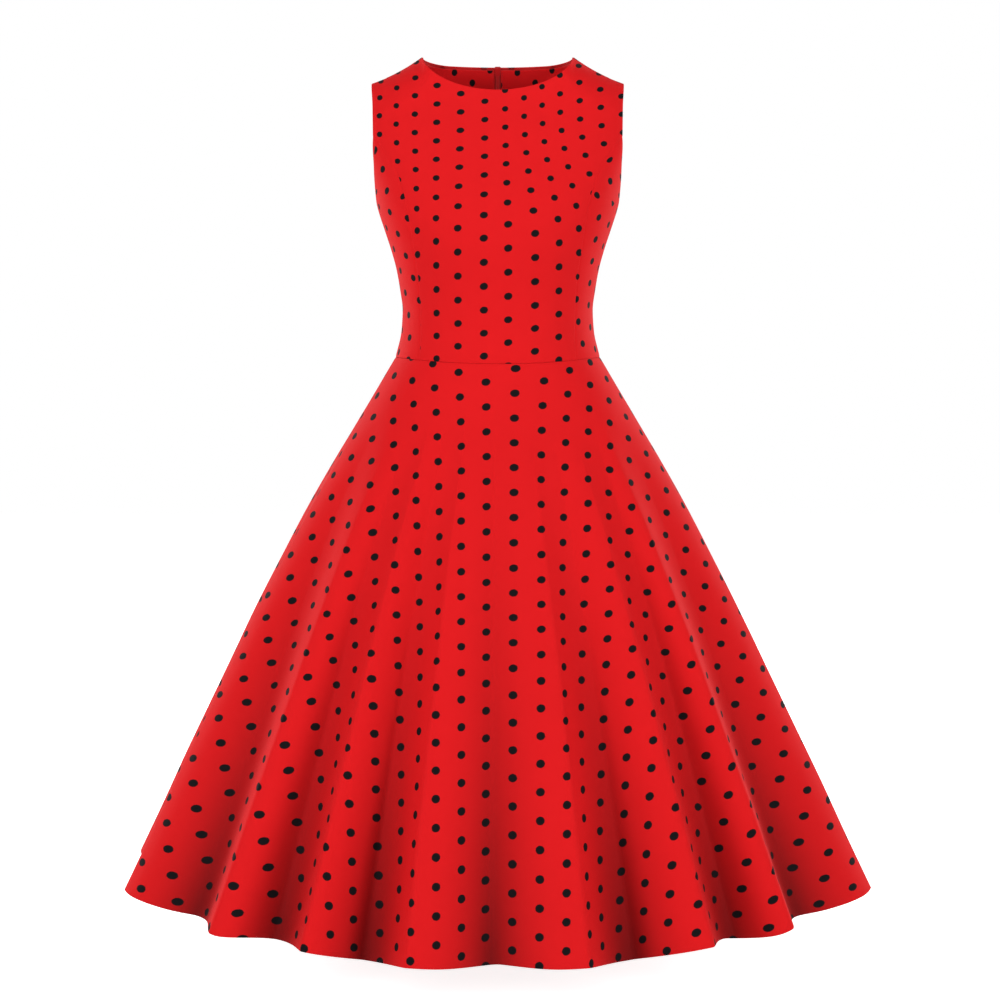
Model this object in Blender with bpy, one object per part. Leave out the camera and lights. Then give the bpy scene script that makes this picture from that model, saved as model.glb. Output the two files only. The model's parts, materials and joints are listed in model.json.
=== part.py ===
"""A sleeveless swing dress, hollow as if worn: a fitted bodice with princess seams, a full flared
skirt in soft folds, a neck facing across the back, and a zip down the centre back.

Metres, +Z up. The dress faces -Y and the wearer's left is +X. The origin lies between the shoulders,
level with the points where the shoulder seams meet the neck edge.
"""

import math
from collections import namedtuple

import bmesh
import bpy
from mathutils import Matrix, Vector

# Driving sizes
WALL = 0.0015
SEAM_GAP = 0.0003
NECK_HALF = 0.0938  # from the middle to the top of a shoulder seam
NECK_DROP_FRONT = 0.0484
NECK_DROP_BACK = 0.0037
SHOULDER_HALF = 0.1569
SHOULDER_DROP = 0.0323
SHOULDER_SAG = 0.38  # how much the shoulder line hollows between the neck and the armhole
SHOULDER_ROLL = 0.050  # how far down the shoulder's rounding reaches
NECK_RISE = 1.3  # slope of the body's line above the neck point
ARMHOLE_SIDE = -0.103  # where the princess seams run into the armholes
ARMHOLE_FLOOR = -0.185
WAIST = -0.3738
WAIST_DIP = 0.0083  # the waist seam lies lower at the centre front
DIP_REACH = 0.090
FOLD_GROWTH = 1.1
FOLD_LIFT = 0.26  # how much the hem rises for each metre that a fold stands out
BROAD_FLANK = 0.68  # how quickly a broad flank leaves its valley, from 0.5 at once to 1 evenly
STEEP_FLANK = 0.60  # how quickly a steep flank leaves its ridge

# The zip, in the middle of the back
ZIP_HALF_GAP = 0.0034
ZIP_END = 0.24  # how far down the skirt it reaches, as a share of the skirt's length
COIL_HALF_WIDTH = 0.0025
COIL_DEPTH = 0.0006
COIL_THICKNESS = 0.0020
COIL_END = 0.226
STOP_START = 0.228
STOP_END = 0.236
STOP_DEPTH = -0.0003
STOP_THICKNESS = 0.0029
TAPE_INNER = 0.0028
TAPE_OUTER = 0.0140
TAPE_DEPTH = WALL + SEAM_GAP
TAPE_THICKNESS = 0.0008
FACING_INNER = 0.0045
FACING_DEPTH = TAPE_DEPTH + TAPE_THICKNESS + 0.0004
FACING_THICKNESS = 0.0010
FACING_REACH = 0.80  # share of the way from the middle to the armhole
FACING_TOP = 0.0025  # how far below the neck edge and the shoulder seam it stops

# The slider and its pull, in the slider's own frame: x across, y out of the back, z up the zip
SLIDER_LEVEL = -0.0085
SLIDER_TOP = 0.0065
SLIDER_BOTTOM = -0.0050
PLATE_HALF_WIDTH = 0.0040
PLATE_THICKNESS = 0.0012
PLATE_OUT = SEAM_GAP
PLATE_IN = -(TAPE_DEPTH + TAPE_THICKNESS + SEAM_GAP)
POST_HALF_WIDTH = 0.0011
POST_BOTTOM = 0.0013
STRAP_HALF_WIDTH = 0.0009
STRAP_THICKNESS = 0.0012
STRAP_HOLE = (0.0018, 0.0032)  # out and up
STRAP_HOLE_BOTTOM = 0.0002
PULL_THICKNESS = 0.0011
PULL_BAR = 0.0011
PULL_EYE_HALF_WIDTH = 0.0015
PULL_EYE_LENGTH = 0.0034
PULL_TOP_HALF_WIDTH = 0.0028
PULL_END_RADIUS = 0.0036
PULL_LENGTH = 0.0220
PULL_CORNER = 0.0009

# The body's rounded sections: half the width, and the depth in front and behind
Section = namedtuple("Section", "at half_width front back squareness")
BODY = (
    Section(0.000, 0.1800, 0.058, 0.058, 2.6),
    Section(-0.030, 0.1770, 0.060, 0.070, 2.6),
    Section(-0.060, 0.1730, 0.066, 0.081, 2.6),
    Section(-0.103, 0.1700, 0.083, 0.090, 2.6),
    Section(-0.140, 0.1610, 0.096, 0.094, 2.55),
    Section(-0.165, 0.1550, 0.104, 0.094, 2.5),
    Section(-0.190, 0.1492, 0.110, 0.091, 2.45),
    Section(-0.215, 0.1412, 0.113, 0.087, 2.4),
    Section(-0.240, 0.1330, 0.112, 0.083, 2.3),
    Section(-0.265, 0.1262, 0.107, 0.079, 2.25),
    Section(-0.290, 0.1218, 0.101, 0.076, 2.2),
    Section(-0.315, 0.1187, 0.097, 0.074, 2.2),
    Section(-0.340, 0.1200, 0.095, 0.075, 2.2),
    Section(WAIST, 0.1275, 0.096, 0.079, 2.2),
)

# The same for the skirt, before its folds, by the share of its length below the waist seam
SKIRT = (
    Section(0.0, 0.1275, 0.096, 0.079, 2.2),
    Section(0.1, 0.1648, 0.115, 0.105, 2.1),
    Section(0.2, 0.2035, 0.143, 0.140, 2.0),
    Section(0.3, 0.2390, 0.170, 0.172, 2.0),
    Section(0.4, 0.2710, 0.196, 0.202, 2.0),
    Section(0.5, 0.3020, 0.221, 0.230, 2.0),
    Section(0.6, 0.3305, 0.245, 0.256, 2.0),
    Section(0.7, 0.3590, 0.268, 0.281, 2.0),
    Section(0.8, 0.3875, 0.290, 0.304, 2.0),
    Section(0.9, 0.4145, 0.311, 0.325, 2.0),
    Section(1.0, 0.4425, 0.331, 0.345, 2.0),
)
DROPS = (0.0, 0.08, 0.16, 0.24, 0.26, 0.36, 0.48, 0.6, 0.73, 0.87, 1.0)

# The outer edge of the middle panels: the princess seam, and above it the armhole
Edge = namedtuple("Edge", "at half_width")
PRINCESS = (
    Edge(WAIST, 0.0950),
    Edge(-0.345, 0.0935),
    Edge(-0.290, 0.0955),
    Edge(-0.240, 0.1020),
    Edge(-0.190, 0.1100),
    Edge(-0.165, 0.1165),
    Edge(-0.141, 0.1265),
    Edge(-0.120, 0.1395),
    Edge(ARMHOLE_SIDE, 0.1530),
)
ARMHOLE = (
    Edge(ARMHOLE_SIDE, 0.1530),
    Edge(-0.065, 0.1541),
    Edge(-SHOULDER_DROP, SHOULDER_HALF),
    Edge(0.0, 0.1590),
)
NECK_SHARE = NECK_HALF / ARMHOLE[-1].half_width

# The hem's height round the skirt, the same on both sides
HemHeight = namedtuple("HemHeight", "at height")
HEM = (
    HemHeight(0, -1.0335),
    HemHeight(9, -1.0390),
    HemHeight(20, -1.0355),
    HemHeight(30, -1.0280),
    HemHeight(37, -1.0240),
    HemHeight(43, -1.0290),
    HemHeight(49, -1.0200),
    HemHeight(55, -1.0190),
    HemHeight(62, -1.0210),
    HemHeight(70, -1.0200),
    HemHeight(78, -1.0135),
    HemHeight(90, -1.0060),
    HemHeight(120, -1.0080),
    HemHeight(150, -1.0160),
    HemHeight(180, -1.0200),
)

# The folds in order round the skirt. Turns are in degrees from the centre front, towards the wearer's
# left. Each row has a ridge, how far it stands out at the hem and what share of that it leans away from
# the middle, the valley after it, how deep that is, and how far down the skirt the fold begins.
Fold = namedtuple("Fold", "ridge out lean valley deep start")
FOLDS = (
    Fold(-168, 0.018, 0.1, -157, 0.021, 0.26),
    Fold(-146, 0.020, 0.2, -136, 0.024, 0.22),
    Fold(-124, 0.021, 0.2, -113, 0.022, 0.16),
    Fold(-101, 0.020, 0.1, -88, 0.018, 0.12),
    Fold(-73, 0.025, 0.1, -57, 0.024, 0.10),
    Fold(-44.6, 0.019, 0.4, -36.6, 0.027, 0.12),
    Fold(-27.6, 0.023, 0.4, -20.8, 0.029, 0.09),
    Fold(-12.6, 0.019, 0.4, -1, 0.024, 0.07),
    Fold(12.5, 0.020, 0.4, 21.2, 0.032, 0.12),
    Fold(30.6, 0.024, 0.4, 39.6, 0.028, 0.12),
    Fold(46.2, 0.019, 0.4, 57, 0.024, 0.11),
    Fold(74, 0.024, 0.1, 90, 0.017, 0.10),
    Fold(104, 0.020, 0.1, 116, 0.023, 0.14),
    Fold(128, 0.023, 0.2, 139, 0.022, 0.20),
    Fold(149, 0.019, 0.2, 162, 0.021, 0.24),
    Fold(172, 0.016, 0.1, 180, 0.018, 0.28),
)

# How finely the cloth is cut up, and the small steps its slopes are read over
SHOULDER_ROWS = (0.0, 0.36, 0.64, 0.84, 0.96, 1.0)  # shares of the way from the armhole to the top
ARMHOLE_STEPS = 5
BODY_STEPS = 7
TIP = 0.0025  # how far short of the armhole the side panels' tips stop
NORMAL_STEP = 0.0004
LEAST_ROLL = 0.002
LEAST_SHARE = 1e-6
TURN_STEP = 0.3
DROP_STEP = 0.004

# A place on the cloth: its point, and the way its cloth faces
Spot = namedtuple("Spot", "point normal")


def blend(rows, column, at):
    """A column of a table, read at any place on a smooth curve through its rows."""
    if rows[0].at > rows[-1].at:
        rows = rows[::-1]
    at = min(max(at, rows[0].at), rows[-1].at)
    i = next(k for k in range(len(rows) - 1) if at <= rows[k + 1].at)
    places = [row.at for row in rows]
    values = [getattr(row, column) for row in rows]
    slopes = [
        (values[k + 1] - values[k]) / (places[k + 1] - places[k]) for k in range(len(rows) - 1)
    ]

    def tangent(k):
        before, after = slopes[max(k - 1, 0)], slopes[min(k, len(slopes) - 1)]
        return 0.0 if before * after <= 0 else 2 * before * after / (before + after)

    width = places[i + 1] - places[i]
    t = (at - places[i]) / width
    return (
        values[i] * (1 + 2 * t) * (1 - t) ** 2
        + values[i + 1] * t * t * (3 - 2 * t)
        + width * (tangent(i) * t * (1 - t) ** 2 - tangent(i + 1) * t * t * (1 - t))
    )


# The bodice's surface. A face is -1 for the front and 1 for the back.


def shoulder_drop(share):
    """How far the shoulder line has dropped, at a share of the way from the neck to the armhole."""
    return SHOULDER_DROP * share * (1 + SHOULDER_SAG * (1 - share))


def ridge_height(x):
    """The line along the shoulder seams, and on up the neck, which the surface rounds over."""
    if abs(x) < NECK_HALF:
        return (NECK_HALF - abs(x)) * NECK_RISE
    return -shoulder_drop((abs(x) - NECK_HALF) / (SHOULDER_HALF - NECK_HALF))


def body_depth(level, face):
    return blend(BODY, "front" if face < 0 else "back", level)


def bodice_depth(x, level, face):
    """How far the surface stands from the plane of the side seams."""
    power = blend(BODY, "squareness", level)
    share = min(abs(x) / blend(BODY, "half_width", level), 1.0)
    below = min(max((ridge_height(x) - level) / SHOULDER_ROLL, 0.0), 1.0)
    roll = math.sqrt(1 - (1 - below) ** 2)
    return body_depth(level, face) * (1 - share**power) ** (1 / power) * roll


def waist_dip(x, level, face):
    if face > 0:
        return 0.0
    fade = min(max(1 - (level - WAIST) / DIP_REACH, 0.0), 1.0)
    share = min(abs(x) / blend(BODY, "half_width", level), 1.0)
    return WAIST_DIP * (1 - share**2) * fade * fade * (3 - 2 * fade)


def bodice_fullness(point, face):
    """Over 1 outside the body's surface and under 1 inside it."""
    level = point.z + waist_dip(point.x, point.z, face)
    power = blend(BODY, "squareness", level)
    below = min(max((ridge_height(point.x) - level) / SHOULDER_ROLL, LEAST_ROLL), 1.0)
    depth = body_depth(level, face) * math.sqrt(1 - (1 - below) ** 2)
    across = abs(point.x) / blend(BODY, "half_width", level)
    return across**power + (abs(point.y) / depth) ** power


def bodice_spot(x, depth, level, face):
    """A place on the bodice: its point and the way its cloth faces."""
    point = Vector((x, face * max(depth, SEAM_GAP / 2), level - waist_dip(x, level, face)))
    steps = [Vector(NORMAL_STEP if axis == k else 0.0 for k in range(3)) for axis in range(3)]
    rises = [bodice_fullness(point + step, face) - bodice_fullness(point - step, face) for step in steps]
    return Spot(point, Vector(rises).normalized())


def middle_edge(level):
    return blend(PRINCESS if level < ARMHOLE_SIDE else ARMHOLE, "half_width", level)


def panel_top(share, face):
    """The height of the neck edge or shoulder seam, at a share of the way out to the armhole."""
    if share >= NECK_SHARE:
        return -shoulder_drop((share - NECK_SHARE) / (1 - NECK_SHARE))
    across = share / NECK_SHARE
    if face < 0:
        return -NECK_DROP_FRONT * math.sqrt(1 - across**2)
    return -NECK_DROP_BACK * (1 - across**2)


def lower_levels():
    """From the waist seam to just below where the princess seams meet the armholes, closer by them."""
    low = [WAIST + (ARMHOLE_FLOOR - WAIST) * k / BODY_STEPS for k in range(BODY_STEPS)]
    reach = ARMHOLE_SIDE - ARMHOLE_FLOOR
    angles = [math.pi / 2 * k / ARMHOLE_STEPS for k in range(ARMHOLE_STEPS)]
    return low + [ARMHOLE_SIDE - reach * math.cos(angle) for angle in angles] + [ARMHOLE_SIDE - TIP]


def middle_levels(share, face):
    top = panel_top(share, face)
    return lower_levels() + [ARMHOLE_SIDE + (top - ARMHOLE_SIDE) * part for part in SHOULDER_ROWS]


def facing_levels(share):
    top = panel_top(share, 1) - FACING_TOP
    return [ARMHOLE_SIDE + (top - ARMHOLE_SIDE) * part for part in SHOULDER_ROWS[1:]]


def middle_column(share, face, inner=0.0, levels=()):
    """One line of spots up a middle panel, at a share of the way from its inner edge to its outer one."""
    spots = []
    for level in levels or middle_levels(abs(share), face):
        edge = middle_edge(level) - SEAM_GAP / 2
        x = math.copysign(inner + (edge - inner) * abs(share), share)
        spots.append(bodice_spot(x, bodice_depth(x, level, face), level, face))
    return spots


def side_depth_limit(level, face):
    """Where a side panel ends: at the side seam, or above that on the armhole's round lower edge."""
    if level <= ARMHOLE_FLOOR:
        return SEAM_GAP / 2
    widest = bodice_depth(ARMHOLE[0].half_width, ARMHOLE_SIDE, face)
    up = (ARMHOLE_SIDE - level) / (ARMHOLE_SIDE - ARMHOLE_FLOOR)
    return max(widest * math.sqrt(max(1 - up**2, 0.0)), SEAM_GAP / 2)


def side_row(level, face, side, columns):
    """One row of a side panel, evenly spaced round from the princess seam."""
    power = blend(BODY, "squareness", level)
    half_width, depth = blend(BODY, "half_width", level), body_depth(level, face)
    start = math.asin(((middle_edge(level) + SEAM_GAP / 2) / half_width) ** (power / 2))
    end = math.acos((side_depth_limit(level, face) / depth) ** (power / 2))
    row = []
    for k in range(columns + 1):
        angle = start + (end - start) * k / columns
        x = half_width * math.sin(angle) ** (2 / power)
        row.append(bodice_spot(side * x, depth * math.cos(angle) ** (2 / power), level, face))
    return row


# The skirt's surface


# A ridge or a valley: how far it stands out and leans round the skirt, and how far the fold has grown
Mark = namedtuple("Mark", "turn out away grown is_ridge")


def fold_marks(drop):
    marks = []
    for fold in FOLDS + (FOLDS[0]._replace(ridge=FOLDS[0].ridge + 360),):
        grown = max((drop - fold.start) / (1 - fold.start), 0.0) ** FOLD_GROWTH
        away = fold.lean * fold.out * math.sin(math.radians(fold.ridge))
        marks.append(Mark(fold.ridge, fold.out, away, grown, True))
        marks.append(Mark(fold.valley, -fold.deep, 0.0, grown, False))
    return marks[:-1]


def fold_wave(turn, drop):
    """How far the folds stand out of the skirt's plain section, and how far they lean round it. The
    flank that runs from a ridge away from the centre front is steep, and every other flank is broad."""
    turn = (turn - FOLDS[0].ridge) % 360 + FOLDS[0].ridge
    marks = fold_marks(drop)
    i = next(k for k in range(len(marks) - 1) if turn <= marks[k + 1].turn)
    first, last = marks[i], marks[i + 1]
    share = (turn - first.turn) / (last.turn - first.turn)
    from_ridge = share if first.is_ridge else 1 - share
    ridge, valley = (first, last) if first.is_ridge else (last, first)
    middle = math.sin(math.radians((first.turn + last.turn) / 2))
    if middle * (ridge.turn - valley.turn) < 0:
        out_of_valley = 1 - from_ridge**STEEP_FLANK
    else:
        out_of_valley = (1 - from_ridge) ** BROAD_FLANK
    up = (1 - math.cos(math.pi * out_of_valley)) / 2
    grown = valley.grown + (ridge.grown - valley.grown) * up
    height = (valley.out + (ridge.out - valley.out) * up) * grown
    return height, ridge.away * up * grown * abs(math.sin(math.radians(turn)))


def hem_height(turn):
    return blend(HEM, "height", abs((turn + 180) % 360 - 180))


def skirt_point(turn, drop):
    angle = math.radians(turn)
    power = blend(SKIRT, "squareness", drop)
    half_width = blend(SKIRT, "half_width", drop)
    depth = blend(SKIRT, "front" if math.cos(angle) > 0 else "back", drop)
    across, along = abs(math.sin(angle)) ** (2 / power), abs(math.cos(angle)) ** (2 / power)
    x = math.copysign(half_width * across, math.sin(angle))
    y = -math.copysign(depth * along, math.cos(angle))
    out = Vector((math.sin(angle) / half_width, -math.cos(angle) / depth, 0)).normalized()
    face = -1 if math.cos(angle) > 0 else 1
    top = WAIST - SEAM_GAP - waist_dip(x * BODY[-1].half_width / half_width, WAIST, face)
    z = top + (hem_height(turn) - top) * drop
    height, lean = fold_wave(turn, drop)
    along = Vector((-out.y, out.x, 0))
    return Vector((x, y, z + FOLD_LIFT * height)) + out * height + along * lean


def skirt_spot(turn, drop):
    along = skirt_point(turn + TURN_STEP, drop) - skirt_point(turn - TURN_STEP, drop)
    low, high = max(drop - DROP_STEP, 0.0), min(drop + DROP_STEP, 1.0)
    up = skirt_point(turn, low) - skirt_point(turn, high)
    return Spot(skirt_point(turn, drop), along.cross(up).normalized())


def skirt_turns(start, end, steps=3):
    """Turns of the mesh's columns: each ridge and valley, with evenly spaced ones between."""
    marks = sorted(
        {turn + lap for fold in FOLDS for turn in (fold.ridge, fold.valley) for lap in (0, 360)}
    )
    marks = [start] + [turn for turn in marks if start + 2 < turn < end - 2] + [end]
    turns = []
    for before, after in zip(marks, marks[1:]):
        turns += [before + (after - before) * k / steps for k in range(steps)]
    return turns + [end]


def back_edge(drop):
    """Half the gap between the skirt's back panels: the zip's above, and a plain seam's below."""
    return ZIP_HALF_GAP if drop <= ZIP_END else SEAM_GAP / 2


def skirt_grid(start, end):
    grid = [[skirt_spot(turn, drop) for turn in skirt_turns(start, end)] for drop in DROPS]
    for drop, row in zip(DROPS, grid):
        for spot in (row[0], row[-1]):
            if abs(math.sin(math.radians(end if spot is row[-1] else start))) < 0.01:
                spot.point.x = math.copysign(back_edge(drop), row[len(row) // 2].point.x)
    return grid


# Meshes


def new_object(name, mesh, colour, roughness, metallic=0.0):
    obj = bpy.data.objects.new(name, mesh)
    bpy.context.scene.collection.objects.link(obj)
    material = bpy.data.materials.new(name)
    material.use_nodes = True
    shader = material.node_tree.nodes["Principled BSDF"]
    shader.inputs["Base Color"].default_value = (*colour, 1)
    shader.inputs["Roughness"].default_value = roughness
    shader.inputs["Metallic"].default_value = metallic
    mesh.materials.append(material)
    return obj


RED_CLOTH = ((0.72, 0.012, 0.014), 0.75)
RED_TAPE = ((0.50, 0.010, 0.012), 0.80)
RED_COIL = ((0.60, 0.020, 0.022), 0.45)
RED_METAL = ((0.60, 0.012, 0.014), 0.35)


def kept_side(point, middle, sides):
    """Keeps a point on its panel's own side of the side seams, and of the centre back."""
    for axis in sides:
        hand = math.copysign(1, middle[axis])
        point[axis] = hand * max(point[axis] * hand, SEAM_GAP / 2)
    return point


def cloth(name, grid, looks, depth=0.0, thickness=WALL, sides=(1,)):
    """A wall of even thickness, with its outer face a given depth under a grid of spots."""
    middle = grid[len(grid) // 2][len(grid[0]) // 2].point
    mesh = bmesh.new()

    def layer(inset):
        return [
            [mesh.verts.new(kept_side(spot.point - spot.normal * inset, middle, sides)) for spot in row]
            for row in grid
        ]

    outer, inner = layer(depth), layer(depth + thickness)
    rows, columns = len(grid), len(grid[0])
    for i in range(rows - 1):
        for j in range(columns - 1):
            corners = ((i, j), (i, j + 1), (i + 1, j + 1), (i + 1, j))
            mesh.faces.new([outer[a][b] for a, b in corners])
            mesh.faces.new([inner[a][b] for a, b in reversed(corners)])
    rim = [(0, j) for j in range(columns)] + [(i, columns - 1) for i in range(1, rows)]
    rim += [(rows - 1, j) for j in range(columns - 2, -1, -1)] + [(i, 0) for i in range(rows - 2, 0, -1)]
    for (a, b), (c, d) in zip(rim, rim[1:] + rim[:1]):
        mesh.faces.new((outer[c][d], outer[a][b], inner[a][b], inner[c][d]))
    bmesh.ops.recalc_face_normals(mesh, faces=mesh.faces)
    data = bpy.data.meshes.new(name)
    mesh.to_mesh(data)
    mesh.free()
    data.shade_smooth()
    data.set_sharp_from_angle(angle=math.radians(50))
    return new_object(name, data, *looks)


# The pieces


def make_bodice():
    shares = [NECK_SHARE * k / 5 for k in range(6)]
    shares += [NECK_SHARE + (1 - NECK_SHARE) * k / 3 for k in (1, 2, 3)]
    front = [-share for share in shares[:0:-1]] + shares
    cloth("bodice_front_centre", rows_of([middle_column(share, -1) for share in front]), RED_CLOTH)
    for side, hand in ((-1, "right"), (1, "left")):
        columns = [middle_column(side * max(share, LEAST_SHARE), 1, ZIP_HALF_GAP) for share in shares]
        cloth(f"bodice_back_{hand}", rows_of(columns), RED_CLOTH)
        for face, which in ((-1, "front"), (1, "back")):
            grid = [side_row(level, face, side, 5) for level in lower_levels()]
            cloth(f"bodice_{which}_side_{hand}", grid, RED_CLOTH)
        reached = [max(share, LEAST_SHARE) for share in shares if share <= FACING_REACH]
        columns = [middle_column(side * share, 1, FACING_INNER, facing_levels(share)) for share in reached]
        grid = rows_of(columns)
        cloth(f"back_neck_facing_{hand}", grid, RED_CLOTH, FACING_DEPTH, FACING_THICKNESS)


def rows_of(columns):
    return [list(row) for row in zip(*columns)]


def make_skirt():
    cloth("skirt_front", skirt_grid(-90, 90), RED_CLOTH)
    cloth("skirt_back_left", skirt_grid(90, 180), RED_CLOTH, sides=(0, 1))
    cloth("skirt_back_right", skirt_grid(180, 270), RED_CLOTH, sides=(0, 1))


def centre_back(x, top=0.0, start=0.0, end=ZIP_END):
    """Spots down the middle of the back, from a height on the bodice to a share of the skirt."""
    levels = [] if start else [level for level in reversed(middle_levels(0.0, 1)) if level < top - TIP]
    if top < 0:
        levels.insert(0, top)
    line = [bodice_spot(x, bodice_depth(x, level, 1), level, 1) for level in levels]
    for drop in [start] + [drop for drop in DROPS if start < drop < end] + [end]:
        if drop > 0:
            spot = skirt_spot(180, drop)
            line.append(Spot(Vector((x, spot.point.y, spot.point.z)), spot.normal))
    return line


def strip(name, inner, outer, looks, depth, thickness, **reach):
    grid = rows_of([centre_back(inner, **reach), centre_back(outer, **reach)])
    return cloth(name, grid, looks, depth, thickness)


def box(name, low, high):
    """A box between two corners, in the slider's frame."""
    mesh = bmesh.new()
    bmesh.ops.create_cube(mesh, size=1)
    size = Vector(high) - Vector(low)
    bmesh.ops.scale(mesh, vec=size, verts=mesh.verts)
    bmesh.ops.translate(mesh, vec=(Vector(low) + Vector(high)) / 2, verts=mesh.verts)
    data = bpy.data.meshes.new(name)
    mesh.to_mesh(data)
    mesh.free()
    return new_object(name, data, *RED_METAL)


def slider_frame():
    spot = bodice_spot(0.0, bodice_depth(0.0, SLIDER_LEVEL, 1), SLIDER_LEVEL, 1)
    across = Vector((1, 0, 0))
    axes = Matrix((across, spot.normal, across.cross(spot.normal))).transposed()
    return Matrix.Translation(spot.point) @ axes.to_4x4()


def combined(body, others, operation):
    """Joins pieces to a body, or cuts them from it, and keeps them out of sight as guides."""
    for other in others:
        change = body.modifiers.new(other.name, "BOOLEAN")
        change.operation = operation
        change.object = other
        other.hide_render = True
        other.display_type = "WIRE"


def make_slider(frame):
    """Two plates joined by a post, one outside the back and one inside it, and a strap for the pull."""
    outside = PLATE_OUT + PLATE_THICKNESS
    out, up = STRAP_HOLE
    plate, post, strap = PLATE_HALF_WIDTH, POST_HALF_WIDTH, STRAP_HALF_WIDTH
    slider = box("zip_slider", (-plate, PLATE_OUT, SLIDER_BOTTOM), (plate, outside, SLIDER_TOP))
    joined = [
        box(
            "inner_plate",
            (-plate, PLATE_IN - PLATE_THICKNESS, SLIDER_BOTTOM),
            (plate, PLATE_IN, SLIDER_TOP),
        ),
        box(
            "post",
            (-post, PLATE_IN - SEAM_GAP, POST_BOTTOM),
            (post, outside - SEAM_GAP, SLIDER_TOP - SEAM_GAP),
        ),
        box(
            "strap",
            (-strap, outside - SEAM_GAP, STRAP_HOLE_BOTTOM - STRAP_THICKNESS),
            (strap, outside + out + STRAP_THICKNESS, STRAP_HOLE_BOTTOM + up + STRAP_THICKNESS),
        ),
    ]
    hole = box(
        "strap_hole", (-plate, outside, STRAP_HOLE_BOTTOM), (plate, outside + out, STRAP_HOLE_BOTTOM + up)
    )
    combined(slider, joined, "UNION")
    combined(slider, [hole], "DIFFERENCE")
    for obj in [slider, hole] + joined:
        obj.matrix_world = frame
    return Vector((0, outside + out / 2, STRAP_HOLE_BOTTOM + up / 2))


def arc(centre, radius, start, end, steps=6):
    angles = [math.radians(start + (end - start) * k / steps) for k in range(steps + 1)]
    return [(centre[0] + radius * math.cos(a), centre[1] + radius * math.sin(a)) for a in angles]


def make_pull(frame, hinge):
    """A flat tab whose top bar lies in the slider's strap. Its origin is on the bar's axis."""
    half_bar, corner = PULL_BAR / 2, PULL_CORNER
    shoulder = PULL_TOP_HALF_WIDTH - corner
    outline = arc((shoulder, half_bar - corner), corner, 0, 90, 3)
    outline += arc((-shoulder, half_bar - corner), corner, 90, 180, 3)
    outline += arc((0, PULL_END_RADIUS - PULL_LENGTH), PULL_END_RADIUS, 180, 360, 12)
    eye, low = PULL_EYE_HALF_WIDTH, -half_bar - PULL_EYE_LENGTH
    hole = [(eye, -half_bar), (-eye, -half_bar), (-eye, low), (eye, low)]
    curve = bpy.data.curves.new("zip_pull", "CURVE")
    curve.dimensions, curve.fill_mode, curve.extrude = "2D", "BOTH", PULL_THICKNESS / 2
    for ring in (outline, hole):
        spline = curve.splines.new("POLY")
        spline.points.add(len(ring) - 1)
        spline.use_cyclic_u = True
        for point, (x, z) in zip(spline.points, ring):
            point.co = (x, z, 0, 1)
    pull = new_object("zip_pull", curve, *RED_METAL)
    pull.matrix_world = frame @ Matrix.Translation(hinge) @ Matrix.Rotation(math.pi / 2, 4, "X")


def make_zip():
    for side, hand in ((-1, "right"), (1, "left")):
        edges = side * TAPE_INNER, side * TAPE_OUTER
        strip(f"zip_tape_{hand}", *edges, RED_TAPE, TAPE_DEPTH, TAPE_THICKNESS)
    coil_edges = -COIL_HALF_WIDTH, COIL_HALF_WIDTH
    coil_top = SLIDER_LEVEL + POST_BOTTOM - 2 * SEAM_GAP
    strip("zip_coil", *coil_edges, RED_COIL, COIL_DEPTH, COIL_THICKNESS, top=coil_top, end=COIL_END)
    strip("zip_stop", *coil_edges, RED_METAL, STOP_DEPTH, STOP_THICKNESS, start=STOP_START, end=STOP_END)
    frame = slider_frame()
    make_pull(frame, make_slider(frame))


def main():
    for obj in list(bpy.data.objects):
        bpy.data.objects.remove(obj, do_unlink=True)
    make_bodice()
    make_skirt()
    make_zip()


main()
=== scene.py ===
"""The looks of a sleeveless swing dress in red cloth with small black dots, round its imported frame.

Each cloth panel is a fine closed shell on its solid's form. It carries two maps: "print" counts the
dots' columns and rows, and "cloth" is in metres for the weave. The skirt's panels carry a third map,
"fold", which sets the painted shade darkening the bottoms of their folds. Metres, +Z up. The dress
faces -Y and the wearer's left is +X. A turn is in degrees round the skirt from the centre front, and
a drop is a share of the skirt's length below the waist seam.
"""

import json
import math
from collections import namedtuple

import bmesh
import bpy
import numpy as np
from mathutils import Matrix, Vector

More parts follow.
